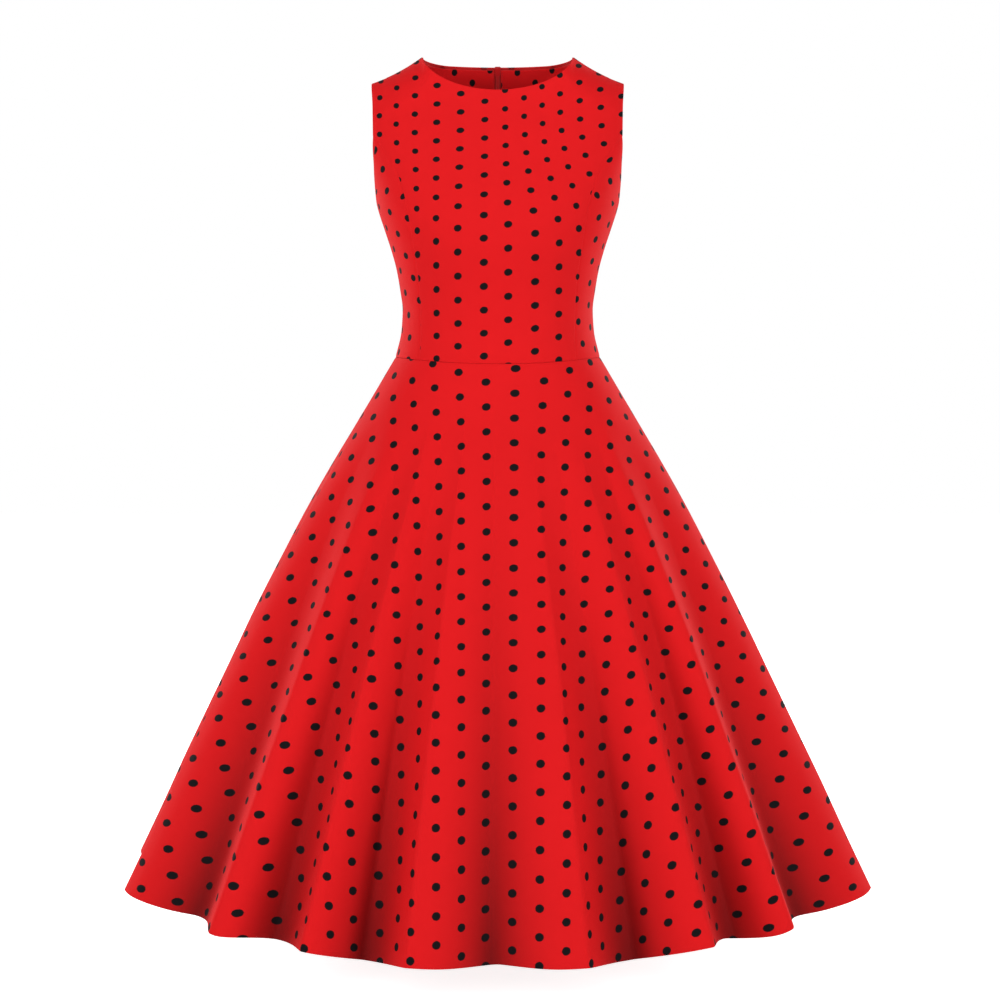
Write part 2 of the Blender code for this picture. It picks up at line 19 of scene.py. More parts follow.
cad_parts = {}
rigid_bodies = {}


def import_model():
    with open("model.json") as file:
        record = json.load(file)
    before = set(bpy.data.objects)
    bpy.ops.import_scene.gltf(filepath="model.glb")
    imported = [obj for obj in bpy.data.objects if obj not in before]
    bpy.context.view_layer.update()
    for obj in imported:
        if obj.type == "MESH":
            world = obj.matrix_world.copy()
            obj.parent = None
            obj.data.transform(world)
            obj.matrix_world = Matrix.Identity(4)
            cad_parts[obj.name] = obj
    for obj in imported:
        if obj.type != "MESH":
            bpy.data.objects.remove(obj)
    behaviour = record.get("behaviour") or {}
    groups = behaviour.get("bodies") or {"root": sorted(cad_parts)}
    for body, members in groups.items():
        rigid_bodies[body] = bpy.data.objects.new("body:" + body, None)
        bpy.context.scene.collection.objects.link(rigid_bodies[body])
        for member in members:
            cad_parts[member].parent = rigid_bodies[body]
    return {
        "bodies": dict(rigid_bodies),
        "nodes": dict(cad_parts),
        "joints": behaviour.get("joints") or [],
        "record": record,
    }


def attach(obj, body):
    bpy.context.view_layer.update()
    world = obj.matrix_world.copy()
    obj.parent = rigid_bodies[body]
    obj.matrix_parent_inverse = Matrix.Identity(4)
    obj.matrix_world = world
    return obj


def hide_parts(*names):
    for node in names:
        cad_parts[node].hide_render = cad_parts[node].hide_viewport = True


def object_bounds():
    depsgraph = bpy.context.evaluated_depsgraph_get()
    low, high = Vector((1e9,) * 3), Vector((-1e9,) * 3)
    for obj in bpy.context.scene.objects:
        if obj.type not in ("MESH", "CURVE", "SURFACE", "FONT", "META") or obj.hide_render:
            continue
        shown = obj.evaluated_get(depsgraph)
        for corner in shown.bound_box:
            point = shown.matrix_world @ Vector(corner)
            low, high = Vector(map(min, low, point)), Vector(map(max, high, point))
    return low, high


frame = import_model()
CAD_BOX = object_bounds()
BODY_NAME = "dress"
PULL_BODY = "zip_pull"

# The garment's driving sizes
CLOTH = 0.0013
SEAM_GAP = 0.00012
CLOSED_GAP = 0.000002  # of a seam that the pale floor would show through if it were wider
SEAM_CALM = 0.14  # cosine of the turn within which a fold beside the side seam doesn't lean
NECK_HALF = 0.0938
NECK_DROP_FRONT = 0.0484
NECK_DROP_BACK = 0.0037
SHOULDER_HALF = 0.1569
SHOULDER_DROP = 0.0323
SHOULDER_SAG = 0.38  # how much the shoulder line hollows between the neck and the armhole
SHOULDER_ROLL = 0.050
NECK_RISE = 1.3
ARMHOLE_SIDE = -0.103
ARMHOLE_FLOOR = -0.185
WAIST = -0.3738
WAIST_DIP = 0.0083
DIP_REACH = 0.090
TIP = 0.0006

# The zip and the facing behind it, in the middle of the back
ZIP_HALF_GAP = 0.0034
ZIP_END = 0.24
ZIP_CLOSING = 0.02  # share of the skirt over which the opening closes below the zip
OPENING_REACH = 0.030  # how far the cloth is moved aside for the opening
COIL_HALF_WIDTH = 0.0025
COIL_DEPTH = 0.0006
COIL_THICKNESS = 0.0020
COIL_TOP = -0.0078
COIL_END = 0.226
STOP_START, STOP_END = 0.228, 0.236
STOP_DEPTH = -0.0003
STOP_THICKNESS = 0.0029
TAPE_INNER, TAPE_OUTER = 0.0028, 0.0140
TAPE_DEPTH = 0.0018
TAPE_THICKNESS = 0.0008
FACING_INNER = 0.0045
FACING_DEPTH = TAPE_DEPTH + TAPE_THICKNESS + 0.0004
FACING_THICKNESS = 0.0010
FACING_REACH = 0.80
FACING_TOP = 0.0025
SLIDER_LEVEL = -0.0085

Section = namedtuple("Section", "at half_width front back squareness")
BODY = (
    Section(0.000, 0.1800, 0.058, 0.058, 2.6),
    Section(-0.030, 0.1770, 0.060, 0.070, 2.6),
    Section(-0.060, 0.1730, 0.066, 0.081, 2.6),
    Section(-0.103, 0.1700, 0.083, 0.090, 2.6),
    Section(-0.140, 0.1610, 0.096, 0.094, 2.55),
    Section(-0.165, 0.1550, 0.104, 0.094, 2.5),
    Section(-0.190, 0.1492, 0.110, 0.091, 2.45),
    Section(-0.215, 0.1412, 0.113, 0.087, 2.4),
    Section(-0.240, 0.1330, 0.112, 0.083, 2.3),
    Section(-0.265, 0.1262, 0.107, 0.079, 2.25),
    Section(-0.290, 0.1218, 0.101, 0.076, 2.2),
    Section(-0.315, 0.1187, 0.097, 0.074, 2.2),
    Section(-0.340, 0.1200, 0.095, 0.075, 2.2),
    Section(WAIST, 0.1275, 0.096, 0.079, 2.2),
)
SKIRT = (
    Section(0.0, 0.1275, 0.096, 0.079, 2.2),
    Section(0.1, 0.1648, 0.115, 0.105, 2.1),
    Section(0.2, 0.2035, 0.143, 0.140, 2.0),
    Section(0.3, 0.2390, 0.170, 0.172, 2.0),
    Section(0.4, 0.2710, 0.196, 0.202, 2.0),
    Section(0.5, 0.3020, 0.221, 0.230, 2.0),
    Section(0.6, 0.3305, 0.245, 0.256, 2.0),
    Section(0.7, 0.3590, 0.268, 0.281, 2.0),
    Section(0.8, 0.3875, 0.290, 0.304, 2.0),
    Section(0.9, 0.4145, 0.311, 0.325, 2.0),
    Section(1.0, 0.4425, 0.331, 0.345, 2.0),
)
Edge = namedtuple("Edge", "at half_width")
PRINCESS = (
    Edge(WAIST, 0.0950),
    Edge(-0.345, 0.0935),
    Edge(-0.290, 0.0955),
    Edge(-0.240, 0.1020),
    Edge(-0.190, 0.1100),
    Edge(-0.165, 0.1165),
    Edge(-0.141, 0.1265),
    Edge(-0.120, 0.1395),
    Edge(ARMHOLE_SIDE, 0.1530),
)
ARMHOLE = (
    Edge(ARMHOLE_SIDE, 0.1530),
    Edge(-0.065, 0.1541),
    Edge(-SHOULDER_DROP, SHOULDER_HALF),
    Edge(0.0, 0.1590),
)
NECK_SHARE = NECK_HALF / ARMHOLE[-1].half_width
HemHeight = namedtuple("HemHeight", "at height")
HEM = (
    HemHeight(0, -1.0335),
    HemHeight(9, -1.0390),
    HemHeight(20, -1.0355),
    HemHeight(30, -1.0280),
    HemHeight(37, -1.0240),
    HemHeight(43, -1.0290),
    HemHeight(49, -1.0200),
    HemHeight(55, -1.0190),
    HemHeight(62, -1.0210),
    HemHeight(70, -1.0200),
    HemHeight(78, -1.0135),
    HemHeight(90, -1.0060),
    HemHeight(120, -1.0080),
    HemHeight(150, -1.0160),
    HemHeight(180, -1.0200),
)

# The folds in order round the skirt: a ridge, how far it stands out at the hem and leans away from the
# middle, the valley after it, how deep that is, and how far down the skirt the fold begins
Fold = namedtuple("Fold", "ridge out lean valley deep start")
FOLDS = (
    Fold(-168, 0.018, 0.1, -157, 0.021, 0.26),
    Fold(-146, 0.020, 0.2, -136, 0.024, 0.22),
    Fold(-124, 0.021, 0.2, -113, 0.022, 0.16),
    Fold(-101, 0.020, 0.1, -88, 0.018, 0.12),
    Fold(-73, 0.025, 0.1, -57, 0.024, 0.10),
    Fold(-44.6, 0.019, 0.4, -36.6, 0.027, 0.12),
    Fold(-27.6, 0.023, 0.4, -20.8, 0.029, 0.09),
    Fold(-12.6, 0.019, 0.4, -1, 0.024, 0.07),
    Fold(12.5, 0.020, 0.4, 21.2, 0.032, 0.12),
    Fold(30.6, 0.024, 0.4, 39.6, 0.028, 0.12),
    Fold(46.2, 0.019, 0.4, 57, 0.024, 0.11),
    Fold(74, 0.024, 0.1, 90, 0.017, 0.10),
    Fold(104, 0.020, 0.1, 116, 0.023, 0.14),
    Fold(128, 0.023, 0.2, 139, 0.022, 0.20),
    Fold(149, 0.019, 0.2, 162, 0.021, 0.24),
    Fold(172, 0.016, 0.1, 180, 0.018, 0.28),
)
Mark = namedtuple("Mark", "turn height lean grown is_ridge")
FOLD_GROWTH = 1.1
VALLEY_SHARPNESS = 0.68  # how quickly a broad flank leaves its valley, from 0.5 at once to 1 evenly
RIDGE_SHARPNESS = 0.60  # how quickly a steep flank leaves its ridge
FOLD_LIFT = 0.26  # how much the hem rises for each metre that a fold stands out

# Soft creases drawn in on the bodice, each listed from one end to the other
Crease = namedtuple("Crease", "face x z to_x to_z width height")
CREASES = (
    Crease(-1, -0.120, -0.118, -0.060, -0.160, 0.012, -0.0011),
    Crease(-1, 0.128, -0.122, 0.070, -0.168, 0.014, -0.0012),
    Crease(-1, -0.070, -0.335, 0.010, -0.350, 0.010, -0.0008),
    Crease(-1, 0.085, -0.330, 0.020, -0.356, 0.011, 0.0007),
    Crease(-1, -0.040, -0.240, 0.045, -0.246, 0.020, -0.0010),
    Crease(-1, -0.095, -0.045, -0.070, -0.105, 0.012, 0.0008),
    Crease(-1, 0.102, -0.040, 0.080, -0.110, 0.013, 0.0007),
    Crease(1, -0.115, -0.105, -0.055, -0.165, 0.014, -0.0013),
    Crease(1, 0.118, -0.110, 0.060, -0.158, 0.013, -0.0011),
    Crease(1, -0.085, -0.318, -0.012, -0.345, 0.011, -0.0012),
    Crease(1, 0.090, -0.310, 0.014, -0.332, 0.012, -0.0010),
    Crease(1, 0.080, -0.348, 0.016, -0.362, 0.008, 0.0008),
    Crease(1, -0.060, -0.020, -0.012, -0.060, 0.012, -0.0008),
)

# The fields for a cloth piece: its name, its width, length and area flat as cut, what holds it up and what
# it rests on
Cut = namedtuple("Cut", "name width length area held rests_on")

# Mesh fineness
BODICE_ROWS = 64
SHOULDER_STEPS = 46
NECK_COLUMNS = 44
SHOULDER_COLUMNS = 18
SIDE_COLUMNS = 40
SKIRT_ROWS = 104
FOLD_STEPS = 10
SEAM_SINK = 0.00030
SEAM_REACH = 0.0022
SEAM_STEPS = (0.0, 0.0007, 0.0015, 0.0026, 0.0042, 0.0065)


def blend(rows, column, at):
    """A column of a table, read at any places on a smooth curve through its rows."""
    rows = sorted(rows, key=lambda row: row.at)
    places = np.array([row.at for row in rows], float)
    values = np.array([getattr(row, column) for row in rows], float)
    slopes = np.diff(values) / np.diff(places)
    before, after = np.append(slopes[0], slopes), np.append(slopes, slopes[-1])
    together = np.where(before * after > 0, before * after, 0.0)
    tangents = 2 * together / np.where(together > 0, before + after, 1.0)
    at = np.clip(at, places[0], places[-1])
    i = np.clip(np.searchsorted(places, at) - 1, 0, len(rows) - 2)
    width = places[i + 1] - places[i]
    t = (at - places[i]) / width
    return (
        values[i] * (1 + 2 * t) * (1 - t) ** 2
        + values[i + 1] * t * t * (3 - 2 * t)
        + width * (tangents[i] * t * (1 - t) ** 2 - tangents[i + 1] * t * t * (1 - t))
    )


def smooth(share):
    share = np.clip(share, 0, 1)
    return share * share * (3 - 2 * share)


def unit(vectors):
    return vectors / np.maximum(np.linalg.norm(vectors, axis=-1, keepdims=True), 1e-12)


# ---- The bodice's surface. A face is -1 for the front and 1 for the back.


def shoulder_drop(share):
    """How far the shoulder line has dropped, at a share of the way from the neck to the armhole."""
    return SHOULDER_DROP * share * (1 + SHOULDER_SAG * (1 - share))


def ridge_height(x):
    inside = (NECK_HALF - np.abs(x)) * NECK_RISE
    outside = shoulder_drop((np.abs(x) - NECK_HALF) / (SHOULDER_HALF - NECK_HALF))
    return np.where(np.abs(x) < NECK_HALF, inside, -outside)


def depth_column(face):
    return "front" if face < 0 else "back"


def bodice_depth(x, level, face):
    power = blend(BODY, "squareness", level)
    share = np.minimum(np.abs(x) / blend(BODY, "half_width", level), 1)
    below = np.clip((ridge_height(x) - level) / SHOULDER_ROLL, 0, 1)
    roll = np.sqrt(1 - (1 - below) ** 2)
    return blend(BODY, depth_column(face), level) * (1 - share**power) ** (1 / power) * roll


def waist_dip(x, level, face):
    if face > 0:
        return np.zeros(np.broadcast(x, level).shape)
    fade = smooth(1 - (level - WAIST) / DIP_REACH)
    share = np.minimum(np.abs(x) / blend(BODY, "half_width", level), 1)
    return WAIST_DIP * (1 - share**2) * fade


def bodice_points(x, depth, level, face):
    depth = np.maximum(depth, SEAM_GAP / 2)
    return np.stack(np.broadcast_arrays(x, face * depth, level - waist_dip(x, level, face)), axis=-1)


def middle_edge(level):
    low, high = blend(PRINCESS, "half_width", level), blend(ARMHOLE, "half_width", level)
    return np.where(level < ARMHOLE_SIDE, low, high)


def panel_top(share, face):
    shoulder = -shoulder_drop((share - NECK_SHARE) / (1 - NECK_SHARE))
    across = np.clip(share / NECK_SHARE, 0, 1)
    front = -NECK_DROP_FRONT * np.sqrt(1 - across**2)
    back = -NECK_DROP_BACK * (1 - across**2)
    return np.where(share >= NECK_SHARE, shoulder, front if face < 0 else back)


def crowded(start, end, count, at_end=True):
    """Even steps from start to end, with the short steps of a seam added at the start, or at both."""
    steps = np.linspace(start, end, count)
    extra = [start + step for step in SEAM_STEPS]
    extra += [end - step for step in SEAM_STEPS if at_end]
    low = start + SEAM_STEPS[-1] * 1.3
    high = end - SEAM_STEPS[-1] * 1.3 if at_end else end
    return np.unique(np.concatenate([steps[(steps >= low) & (steps <= high)], extra]))


def lower_levels():
    """From the waist seam to where the princess seams meet the armholes, closer by them."""
    low = crowded(WAIST, ARMHOLE_FLOOR, BODICE_ROWS, at_end=False)
    angles = np.linspace(0, math.pi / 2, BODICE_ROWS // 2)[1:-1]
    reach = ARMHOLE_SIDE - ARMHOLE_FLOOR
    return np.concatenate([low, ARMHOLE_SIDE - reach * np.cos(angles), [ARMHOLE_SIDE - TIP]])


def middle_grid(face, inner, sides):
    """Points of a middle panel, from an inner edge out to the seam and the armhole on the given sides."""
    turn = np.linspace(0, math.pi / 2, NECK_COLUMNS)
    shares = np.concatenate([NECK_SHARE * np.sin(turn), np.linspace(NECK_SHARE, 1, SHOULDER_COLUMNS)[1:]])
    near_edge = 1 - np.array(SEAM_STEPS) / ARMHOLE[0].half_width
    near_middle = np.array(SEAM_STEPS) / ARMHOLE[0].half_width if inner else []
    shares = np.unique(np.concatenate([shares, near_edge, near_middle]).round(6))
    if len(sides) == 2:
        shares = np.concatenate([-shares[:0:-1], shares])
    else:
        shares = shares * sides[0]
        shares = shares[:: sides[0]]
    size = np.abs(shares)[None, :]
    parts = 1 - (1 - np.linspace(0, 1, SHOULDER_STEPS)) ** 1.6
    top = panel_top(size, face)
    upper = ARMHOLE_SIDE + (top - ARMHOLE_SIDE) * parts[:, None]
    lower = np.repeat(lower_levels()[:, None], len(shares), axis=1)
    level = np.concatenate([lower, upper])
    edge = middle_edge(level) - SEAM_GAP / 2
    hand = np.where(shares == 0, sides[-1], np.sign(shares))
    x = hand * (inner + (edge - inner) * size)
    return bodice_points(x, bodice_depth(x, level, face), level, face), level


def side_grid(face, side):
    """Points of a side panel, round from the princess seam to the side seam and the armhole."""
    level = lower_levels()[:, None]
    power = blend(BODY, "squareness", level)
    half_width, depth = blend(BODY, "half_width", level), blend(BODY, depth_column(face), level)
    widest = bodice_depth(ARMHOLE[0].half_width, ARMHOLE_SIDE, face)
    up = np.clip((ARMHOLE_SIDE - level) / (ARMHOLE_SIDE - ARMHOLE_FLOOR), 0, 1)
    limit = np.maximum(widest * np.sqrt(1 - up**2), SEAM_GAP / 2)
    start = np.arcsin(((middle_edge(level) + SEAM_GAP / 2) / half_width) ** (power / 2))
    end = np.arccos((limit / depth) ** (power / 2))
    width = 0.085
    shares = crowded(0, width, SIDE_COLUMNS)[None, :] / width
    angle = start + (end - start) * shares
    x = side * half_width * np.sin(angle) ** (2 / power)
    return bodice_points(x, depth * np.cos(angle) ** (2 / power), level, face), level


def creased(points, normals, face):
    """Points moved along their normals by the listed creases."""
    for crease in CREASES:
        if crease.face != face:
            continue
        start = np.array([crease.x, crease.z])
        run = np.array([crease.to_x, crease.to_z]) - start
        away = points[..., [0, 2]] - start
        along = np.clip((away @ run) / (run @ run), 0, 1)
        distance = np.linalg.norm(away - along[..., None] * run, axis=-1)
        taper = np.sin(math.pi * (0.15 + 0.7 * along))
        push = crease.height * taper * np.exp(-((distance / crease.width) ** 2))
        points = points + normals * push[..., None]
    return points


# ---- The skirt's surface


def fold_waves(turns, drop):
    """How far the folds stand out of the skirt's plain section and lean round it, and how deep in them
    a place is, from 0 on a ridge to 1 in a full valley, which sets the painted shade in the folds."""
    turns = (turns - FOLDS[0].ridge) % 360 + FOLDS[0].ridge
    marks = []
    for fold in FOLDS + (FOLDS[0]._replace(ridge=FOLDS[0].ridge + 360),):
        grown = np.clip((drop - fold.start) / (1 - fold.start), 0.0, 1.0) ** FOLD_GROWTH
        away = fold.lean * fold.out * math.sin(math.radians(fold.ridge))
        marks.append(Mark(fold.ridge, fold.out, away, grown, True))
        marks.append(Mark(fold.valley, -fold.deep, 0.0, grown, False))
    shape = np.broadcast(turns, drop).shape
    height, lean, fold_shade_share = np.zeros(shape), np.zeros(shape), np.zeros(shape)
    for first, last in zip(marks, marks[1:-1]):
        share = np.clip((turns - first.turn) / (last.turn - first.turn), 0, 1)
        from_ridge = share if first.is_ridge else 1 - share
        ridge, valley = (first, last) if first.is_ridge else (last, first)
        outward = math.sin(math.radians((first.turn + last.turn) / 2)) * (1 if first.is_ridge else -1)
        broad = (1 - from_ridge) ** VALLEY_SHARPNESS
        out_of_valley = 1 - from_ridge**RIDGE_SHARPNESS if outward > 0 else broad
        up = (1 - np.cos(math.pi * out_of_valley)) / 2
        grown = valley.grown + (ridge.grown - valley.grown) * up
        here = (turns >= first.turn) & (turns <= last.turn)
        height = np.where(here, (valley.height + (ridge.height - valley.height) * up) * grown, height)
        lean = np.where(here, ridge.lean * up * grown * np.abs(np.sin(np.radians(turns))), lean)
        fold_shade_share = np.where(here, (1 - up) * grown, fold_shade_share)
    return height, lean, fold_shade_share


def skirt_points(turns, drop):
    """Points of the skirt: a row for each drop, and a column for each turn, with each point's share of the
    painted fold shade.
    """
    angle, drop = np.radians(turns)[None, :], np.asarray(drop, float)[:, None]
    front = np.cos(angle) > 0
    power, half_width = blend(SKIRT, "squareness", drop), blend(SKIRT, "half_width", drop)
    depth = np.where(front, blend(SKIRT, "front", drop), blend(SKIRT, "back", drop))
    x = half_width * np.sign(np.sin(angle)) * np.abs(np.sin(angle)) ** (2 / power)
    y = -depth * np.sign(np.cos(angle)) * np.abs(np.cos(angle)) ** (2 / power)
    share = np.abs(x) / half_width
    top = WAIST - SEAM_GAP - np.where(front, WAIST_DIP * (1 - share**2), 0.0)
    hem = blend(HEM, "height", np.abs((np.degrees(angle) + 180) % 360 - 180))
    z = top + (hem - top) * drop
    outward = np.broadcast_arrays(np.sin(angle) / half_width, -np.cos(angle) / depth, 0.0)
    out = unit(np.stack(outward, axis=-1))
    along = np.stack([-out[..., 1], out[..., 0], 0 * out[..., 0]], axis=-1)
    height, lean, fold_shade_share = fold_waves(turns[None, :], drop)
    lean = lean * smooth(np.abs(np.cos(angle)) / SEAM_CALM)
    z = z + FOLD_LIFT * height
    return np.stack([x, y, z], axis=-1) + out * height[..., None] + along * lean[..., None], fold_shade_share


def opened(points, drop, side):
    """The centre back's edge moved out to the zip, and below the zip to the plain seam."""
    shut = smooth((drop - ZIP_END) / ZIP_CLOSING)[:, None]
    edge = ZIP_HALF_GAP + (CLOSED_GAP / 2 - ZIP_HALF_GAP) * shut
    across = np.abs(points[..., 0])
    moved = np.where(across < OPENING_REACH, edge + across * (1 - edge / OPENING_REACH), across)
    return np.concatenate([side * moved[..., None], points[..., 1:]], axis=-1)


def skirt_turns(start, end):
    marks = sorted({turn + lap for fold in FOLDS for turn in (fold.ridge, fold.valley) for lap in (0, 360)})
    marks = [start] + [turn for turn in marks if start + 2 < turn < end - 2] + [end]
    turns = [np.linspace(a, b, FOLD_STEPS * 2, endpoint=False) for a, b in zip(marks, marks[1:])]
    seam = np.array(SEAM_STEPS[1:4]) * 100
    return np.unique(np.concatenate(turns + [start + seam, end - seam, [end]]).round(5))


# ---- Shells


def steps_along(points, axis):
    """Distance along each row or column of a grid, from its start."""
    lengths = np.linalg.norm(np.diff(points, axis=axis), axis=-1)
    start = np.zeros_like(np.take(lengths, [0], axis=axis))
    return np.concatenate([start, np.cumsum(lengths, axis=axis)], axis=axis)


def seam_distance(points, seams):
    """Each point's distance to the nearest seamed edge of its panel."""
    near = np.full(points.shape[:2], 1.0)
    for seam in seams:
        travelled = steps_along(points, 0 if seam in ("low", "high") else 1)
        if seam in ("high", "last"):
            whole = travelled[-1:, :] if seam == "high" else travelled[:, -1:]
            travelled = whole - travelled
        near = np.minimum(near, travelled)
    return near


def grid_normals(points):
    """The outward normals of a grid, and whether its faces turn the outward way as they stand."""
    normals = unit(np.cross(np.gradient(points, axis=1), np.gradient(points, axis=0)))
    outward = np.sum(normals[..., :2] * points[..., :2]) > 0
    return (normals if outward else -normals), outward


def rim_loop(rows, columns):
    """Grid places round the rim, and for each the grid place just inside it."""
    loop = [(0, j) for j in range(columns)] + [(i, columns - 1) for i in range(1, rows)]
    loop += [(rows - 1, j) for j in range(columns - 2, -1, -1)] + [(i, 0) for i in range(rows - 2, 0, -1)]
    inside = [(min(max(i, 1), rows - 2), min(max(j, 1), columns - 2)) for i, j in loop]
    return np.array(loop), np.array(inside)


def folded_edge(place, rows, columns, seams):
    """Whether a rim place is on an edge that is turned under, and not on a seam."""
    i, j = place
    sides = {"low": i == 0, "high": i == rows - 1, "first": j == 0, "last": j == columns - 1}
    return not any(sides[seam] for seam in seams)


RIM_ANGLES = (45, 90, 135)


def shell(name, points, maps, seams, materials, replaced, thickness=CLOTH, depth=0.0):
    """A closed cloth wall under a grid of points, rounded where its edge is turned under."""
    rows, columns = points.shape[:2]
    normals, outward = grid_normals(points)
    sink = SEAM_SINK * np.exp(-((seam_distance(points, seams) / SEAM_REACH) ** 2)) if seams else 0.0
    outer = points - normals * (depth + sink * np.ones((rows, columns)))[..., None]
    inner = points - normals * (depth + thickness)
    for edge in (0, -1):
        # Two panels' edges meet in one plane at the centre back and at the sides, however the fold leans.
        for axis in (0, 1):
            met = np.abs(points[:, edge, axis]) < SEAM_GAP
            for layer in (outer, inner):
                layer[met, edge, axis] = points[met, edge, axis]
    hand = math.copysign(1, points[rows // 2, columns // 2, 1])
    for layer in (outer, inner):
        layer[..., 1] = hand * np.maximum(layer[..., 1] * hand, CLOSED_GAP / 2)
    loop, inside = rim_loop(rows, columns)
    top, bottom = outer[loop[:, 0], loop[:, 1]], inner[loop[:, 0], loop[:, 1]]
    away = unit(top - outer[inside[:, 0], inside[:, 1]])
    bulge = [thickness / 2 * folded_edge(place, rows, columns, seams) for place in loop]
    rings = []
    for angle in map(math.radians, RIM_ANGLES):
        middle = (top + bottom) / 2 + (top - bottom) / 2 * math.cos(angle)
        rings.append(middle + away * (np.array(bulge) * math.sin(angle))[:, None])
    places = np.concatenate([outer.reshape(-1, 3), inner.reshape(-1, 3)] + rings)
    number = np.arange(rows * columns).reshape(rows, columns)
    corners = [number[:-1, :-1], number[:-1, 1:], number[1:, 1:], number[1:, :-1]]
    quads = np.stack(corners, axis=-1).reshape(-1, 4)
    size, around = rows * columns, len(loop)
    rim = number[loop[:, 0], loop[:, 1]]
    levels = [rim] + [2 * size + k * around + np.arange(around) for k in range(len(rings))] + [rim + size]
    faces = [quads, quads[:, ::-1] + size]
    for upper, lower in zip(levels, levels[1:]):
        faces.append(np.stack([np.roll(upper, -1), upper, lower, np.roll(lower, -1)], axis=-1))
    faces = np.concatenate(faces)
    faces = faces if outward else faces[:, ::-1]
    mesh = bpy.data.meshes.new(name)
    mesh.from_pydata(places.tolist(), [], faces.tolist())
    for map_name, values in maps.items():
        flat = values.reshape(-1, 2)
        whole = np.concatenate([flat, flat] + [flat[rim]] * len(rings))
        layer = mesh.uv_layers.new(name=map_name)
        layer.data.foreach_set("uv", whole[faces.reshape(-1)].astype(np.float32).reshape(-1))
    for material in materials:
        mesh.materials.append(material)
    kinds = np.zeros(len(faces), np.int32)
    kinds[len(quads) : 2 * len(quads)] = 1
    mesh.polygons.foreach_set("material_index", kinds)
    mesh.shade_smooth()
    mesh.update()
    placed(name, mesh, BODY_NAME, replaced)


def placed(name, mesh, body, replaced=()):
    obj = bpy.data.objects.new(name, mesh)
    bpy.context.scene.collection.objects.link(obj)
    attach(obj, body)
    if replaced:
        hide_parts(*replaced)


# ---- The print, charted in its own columns and rows. Dots lie on whole numbers, and every other
# column lies half a row lower.

# Where the dot columns of the bodice's front run, at the waist and across the chest
Grain = namedtuple("Grain", "at waist chest")
FRONT_GRAINS = (
    Grain(-6, -0.158, -0.168),
    Grain(-5, -0.137, -0.145),
    Grain(-4, -0.117, -0.124),
    Grain(-3, -0.097, -0.101),
    Grain(-2, -0.074, -0.074),
    Grain(-1, -0.048, -0.045),
    Grain(0, -0.0165, -0.0155),
    Grain(1, 0.0125, 0.009),
    Grain(2, 0.045, 0.032),
    Grain(3, 0.074, 0.054),
    Grain(4, 0.0985, 0.076),
    Grain(5, 0.122, 0.100),
    Grain(6, 0.146, 0.126),
    Grain(7, 0.168, 0.1525),
    Grain(8, 0.190, 0.178),
)
GRAIN_LOW, GRAIN_HIGH = -0.235, -0.075
# How many rows of dots lie between the waist and a height at the centre front
Rise = namedtuple("Rise", "at dots")
FRONT_RISES = (
    Rise(-0.400, -1.0),
    Rise(-0.3716, 0.0),
    Rise(-0.3164, 2.0),
    Rise(-0.2594, 4.0),
    Rise(-0.2032, 6.0),
    Rise(-0.1543, 8.0),
    Rise(-0.1083, 10.0),
    Rise(-0.0615, 12.0),
    Rise(-0.0150, 14.0),
    Rise(0.0100, 15.1),
)
BACK_PITCH = 0.0275, 0.0285
BACK_SHIFT = 0.0105, 0.0080
SIDE_PITCH, SIDE_SHIFT = (0.0285, 0.0280), (0.010, 0.009)
SIDE_TILT = 11  # degrees that the side panels' print turns
ROW_TILT = 0.085
ROW_CURVE = 0.35
# Which column of dots lies where across the skirt's flat fan, in metres from the centre front
SKIRT_COLUMNS = (
    Rise(-0.664, -20.0),
    Rise(-0.587, -18.0),
    Rise(-0.510, -16.0),
    Rise(-0.433, -14.0),
    Rise(-0.355, -12.0),
    Rise(-0.284, -10.0),
    Rise(-0.2190, -8.0),
    Rise(-0.1667, -6.0),
    Rise(-0.1095, -4.0),
    Rise(-0.0612, -2.0),
    Rise(-0.0104, 0.0),
    Rise(0.0458, 2.0),
    Rise(0.0955, 4.0),
    Rise(0.1467, 6.0),
    Rise(0.1980, 8.0),
    Rise(0.2533, 10.0),
    Rise(0.3090, 12.0),
    Rise(0.3733, 14.0),
    Rise(0.4438, 16.0),
    Rise(0.5150, 18.0),
    Rise(0.5862, 20.0),
    Rise(0.6574, 22.0),
)
# How many rows of dots lie down the skirt's centre front, by the cloth's distance from the waist seam
SKIRT_ROWS_DOWN = (
    Rise(-0.040, -1.25),
    Rise(0.000, 0.0),
    Rise(0.252, 8.0),
    Rise(0.311, 10.0),
    Rise(0.370, 12.0),
    Rise(0.432, 14.0),
    Rise(0.494, 16.0),
    Rise(0.557, 18.0),
    Rise(0.620, 20.0),
    Rise(0.681, 22.0),
    Rise(0.742, 24.0),
)
SKIRT_RADIUS = 0.200  # of the waist edge, where the skirt's panels lie flat
SKIRT_SWEEP = 0.70  # half of the angle that the print of the skirt's front covers when flat
SKIRT_FIRST_ROW = 0.0068  # how far the first row of dots lies below the waist seam
SKIRT_ROW_TILT, SKIRT_ROW_BEND = 0.07, 0.33  # how the rows rise to the wearer's left, and to both sides


def front_print(points, level):
    x = points[..., 0]
    columns = np.linspace(FRONT_GRAINS[0].at, FRONT_GRAINS[-1].at, 281)
    low = np.interp(x, blend(FRONT_GRAINS, "waist", columns), columns)
    high = np.interp(x, blend(FRONT_GRAINS, "chest", columns), columns)
    chest = smooth((level - GRAIN_LOW) / (GRAIN_HIGH - GRAIN_LOW))
    rise = blend(FRONT_RISES, "dots", points[..., 2] - ROW_TILT * x - ROW_CURVE * x * x)
    return np.stack([low + (high - low) * chest, rise], axis=-1)


def cloth_map(points):
    """The grid's own distances across and down, in metres, measured from its middle column."""
    across = steps_along(points, 1)
    across = across - across[:, points.shape[1] // 2][:, None]
    return np.stack([across, steps_along(points, 0)], axis=-1)


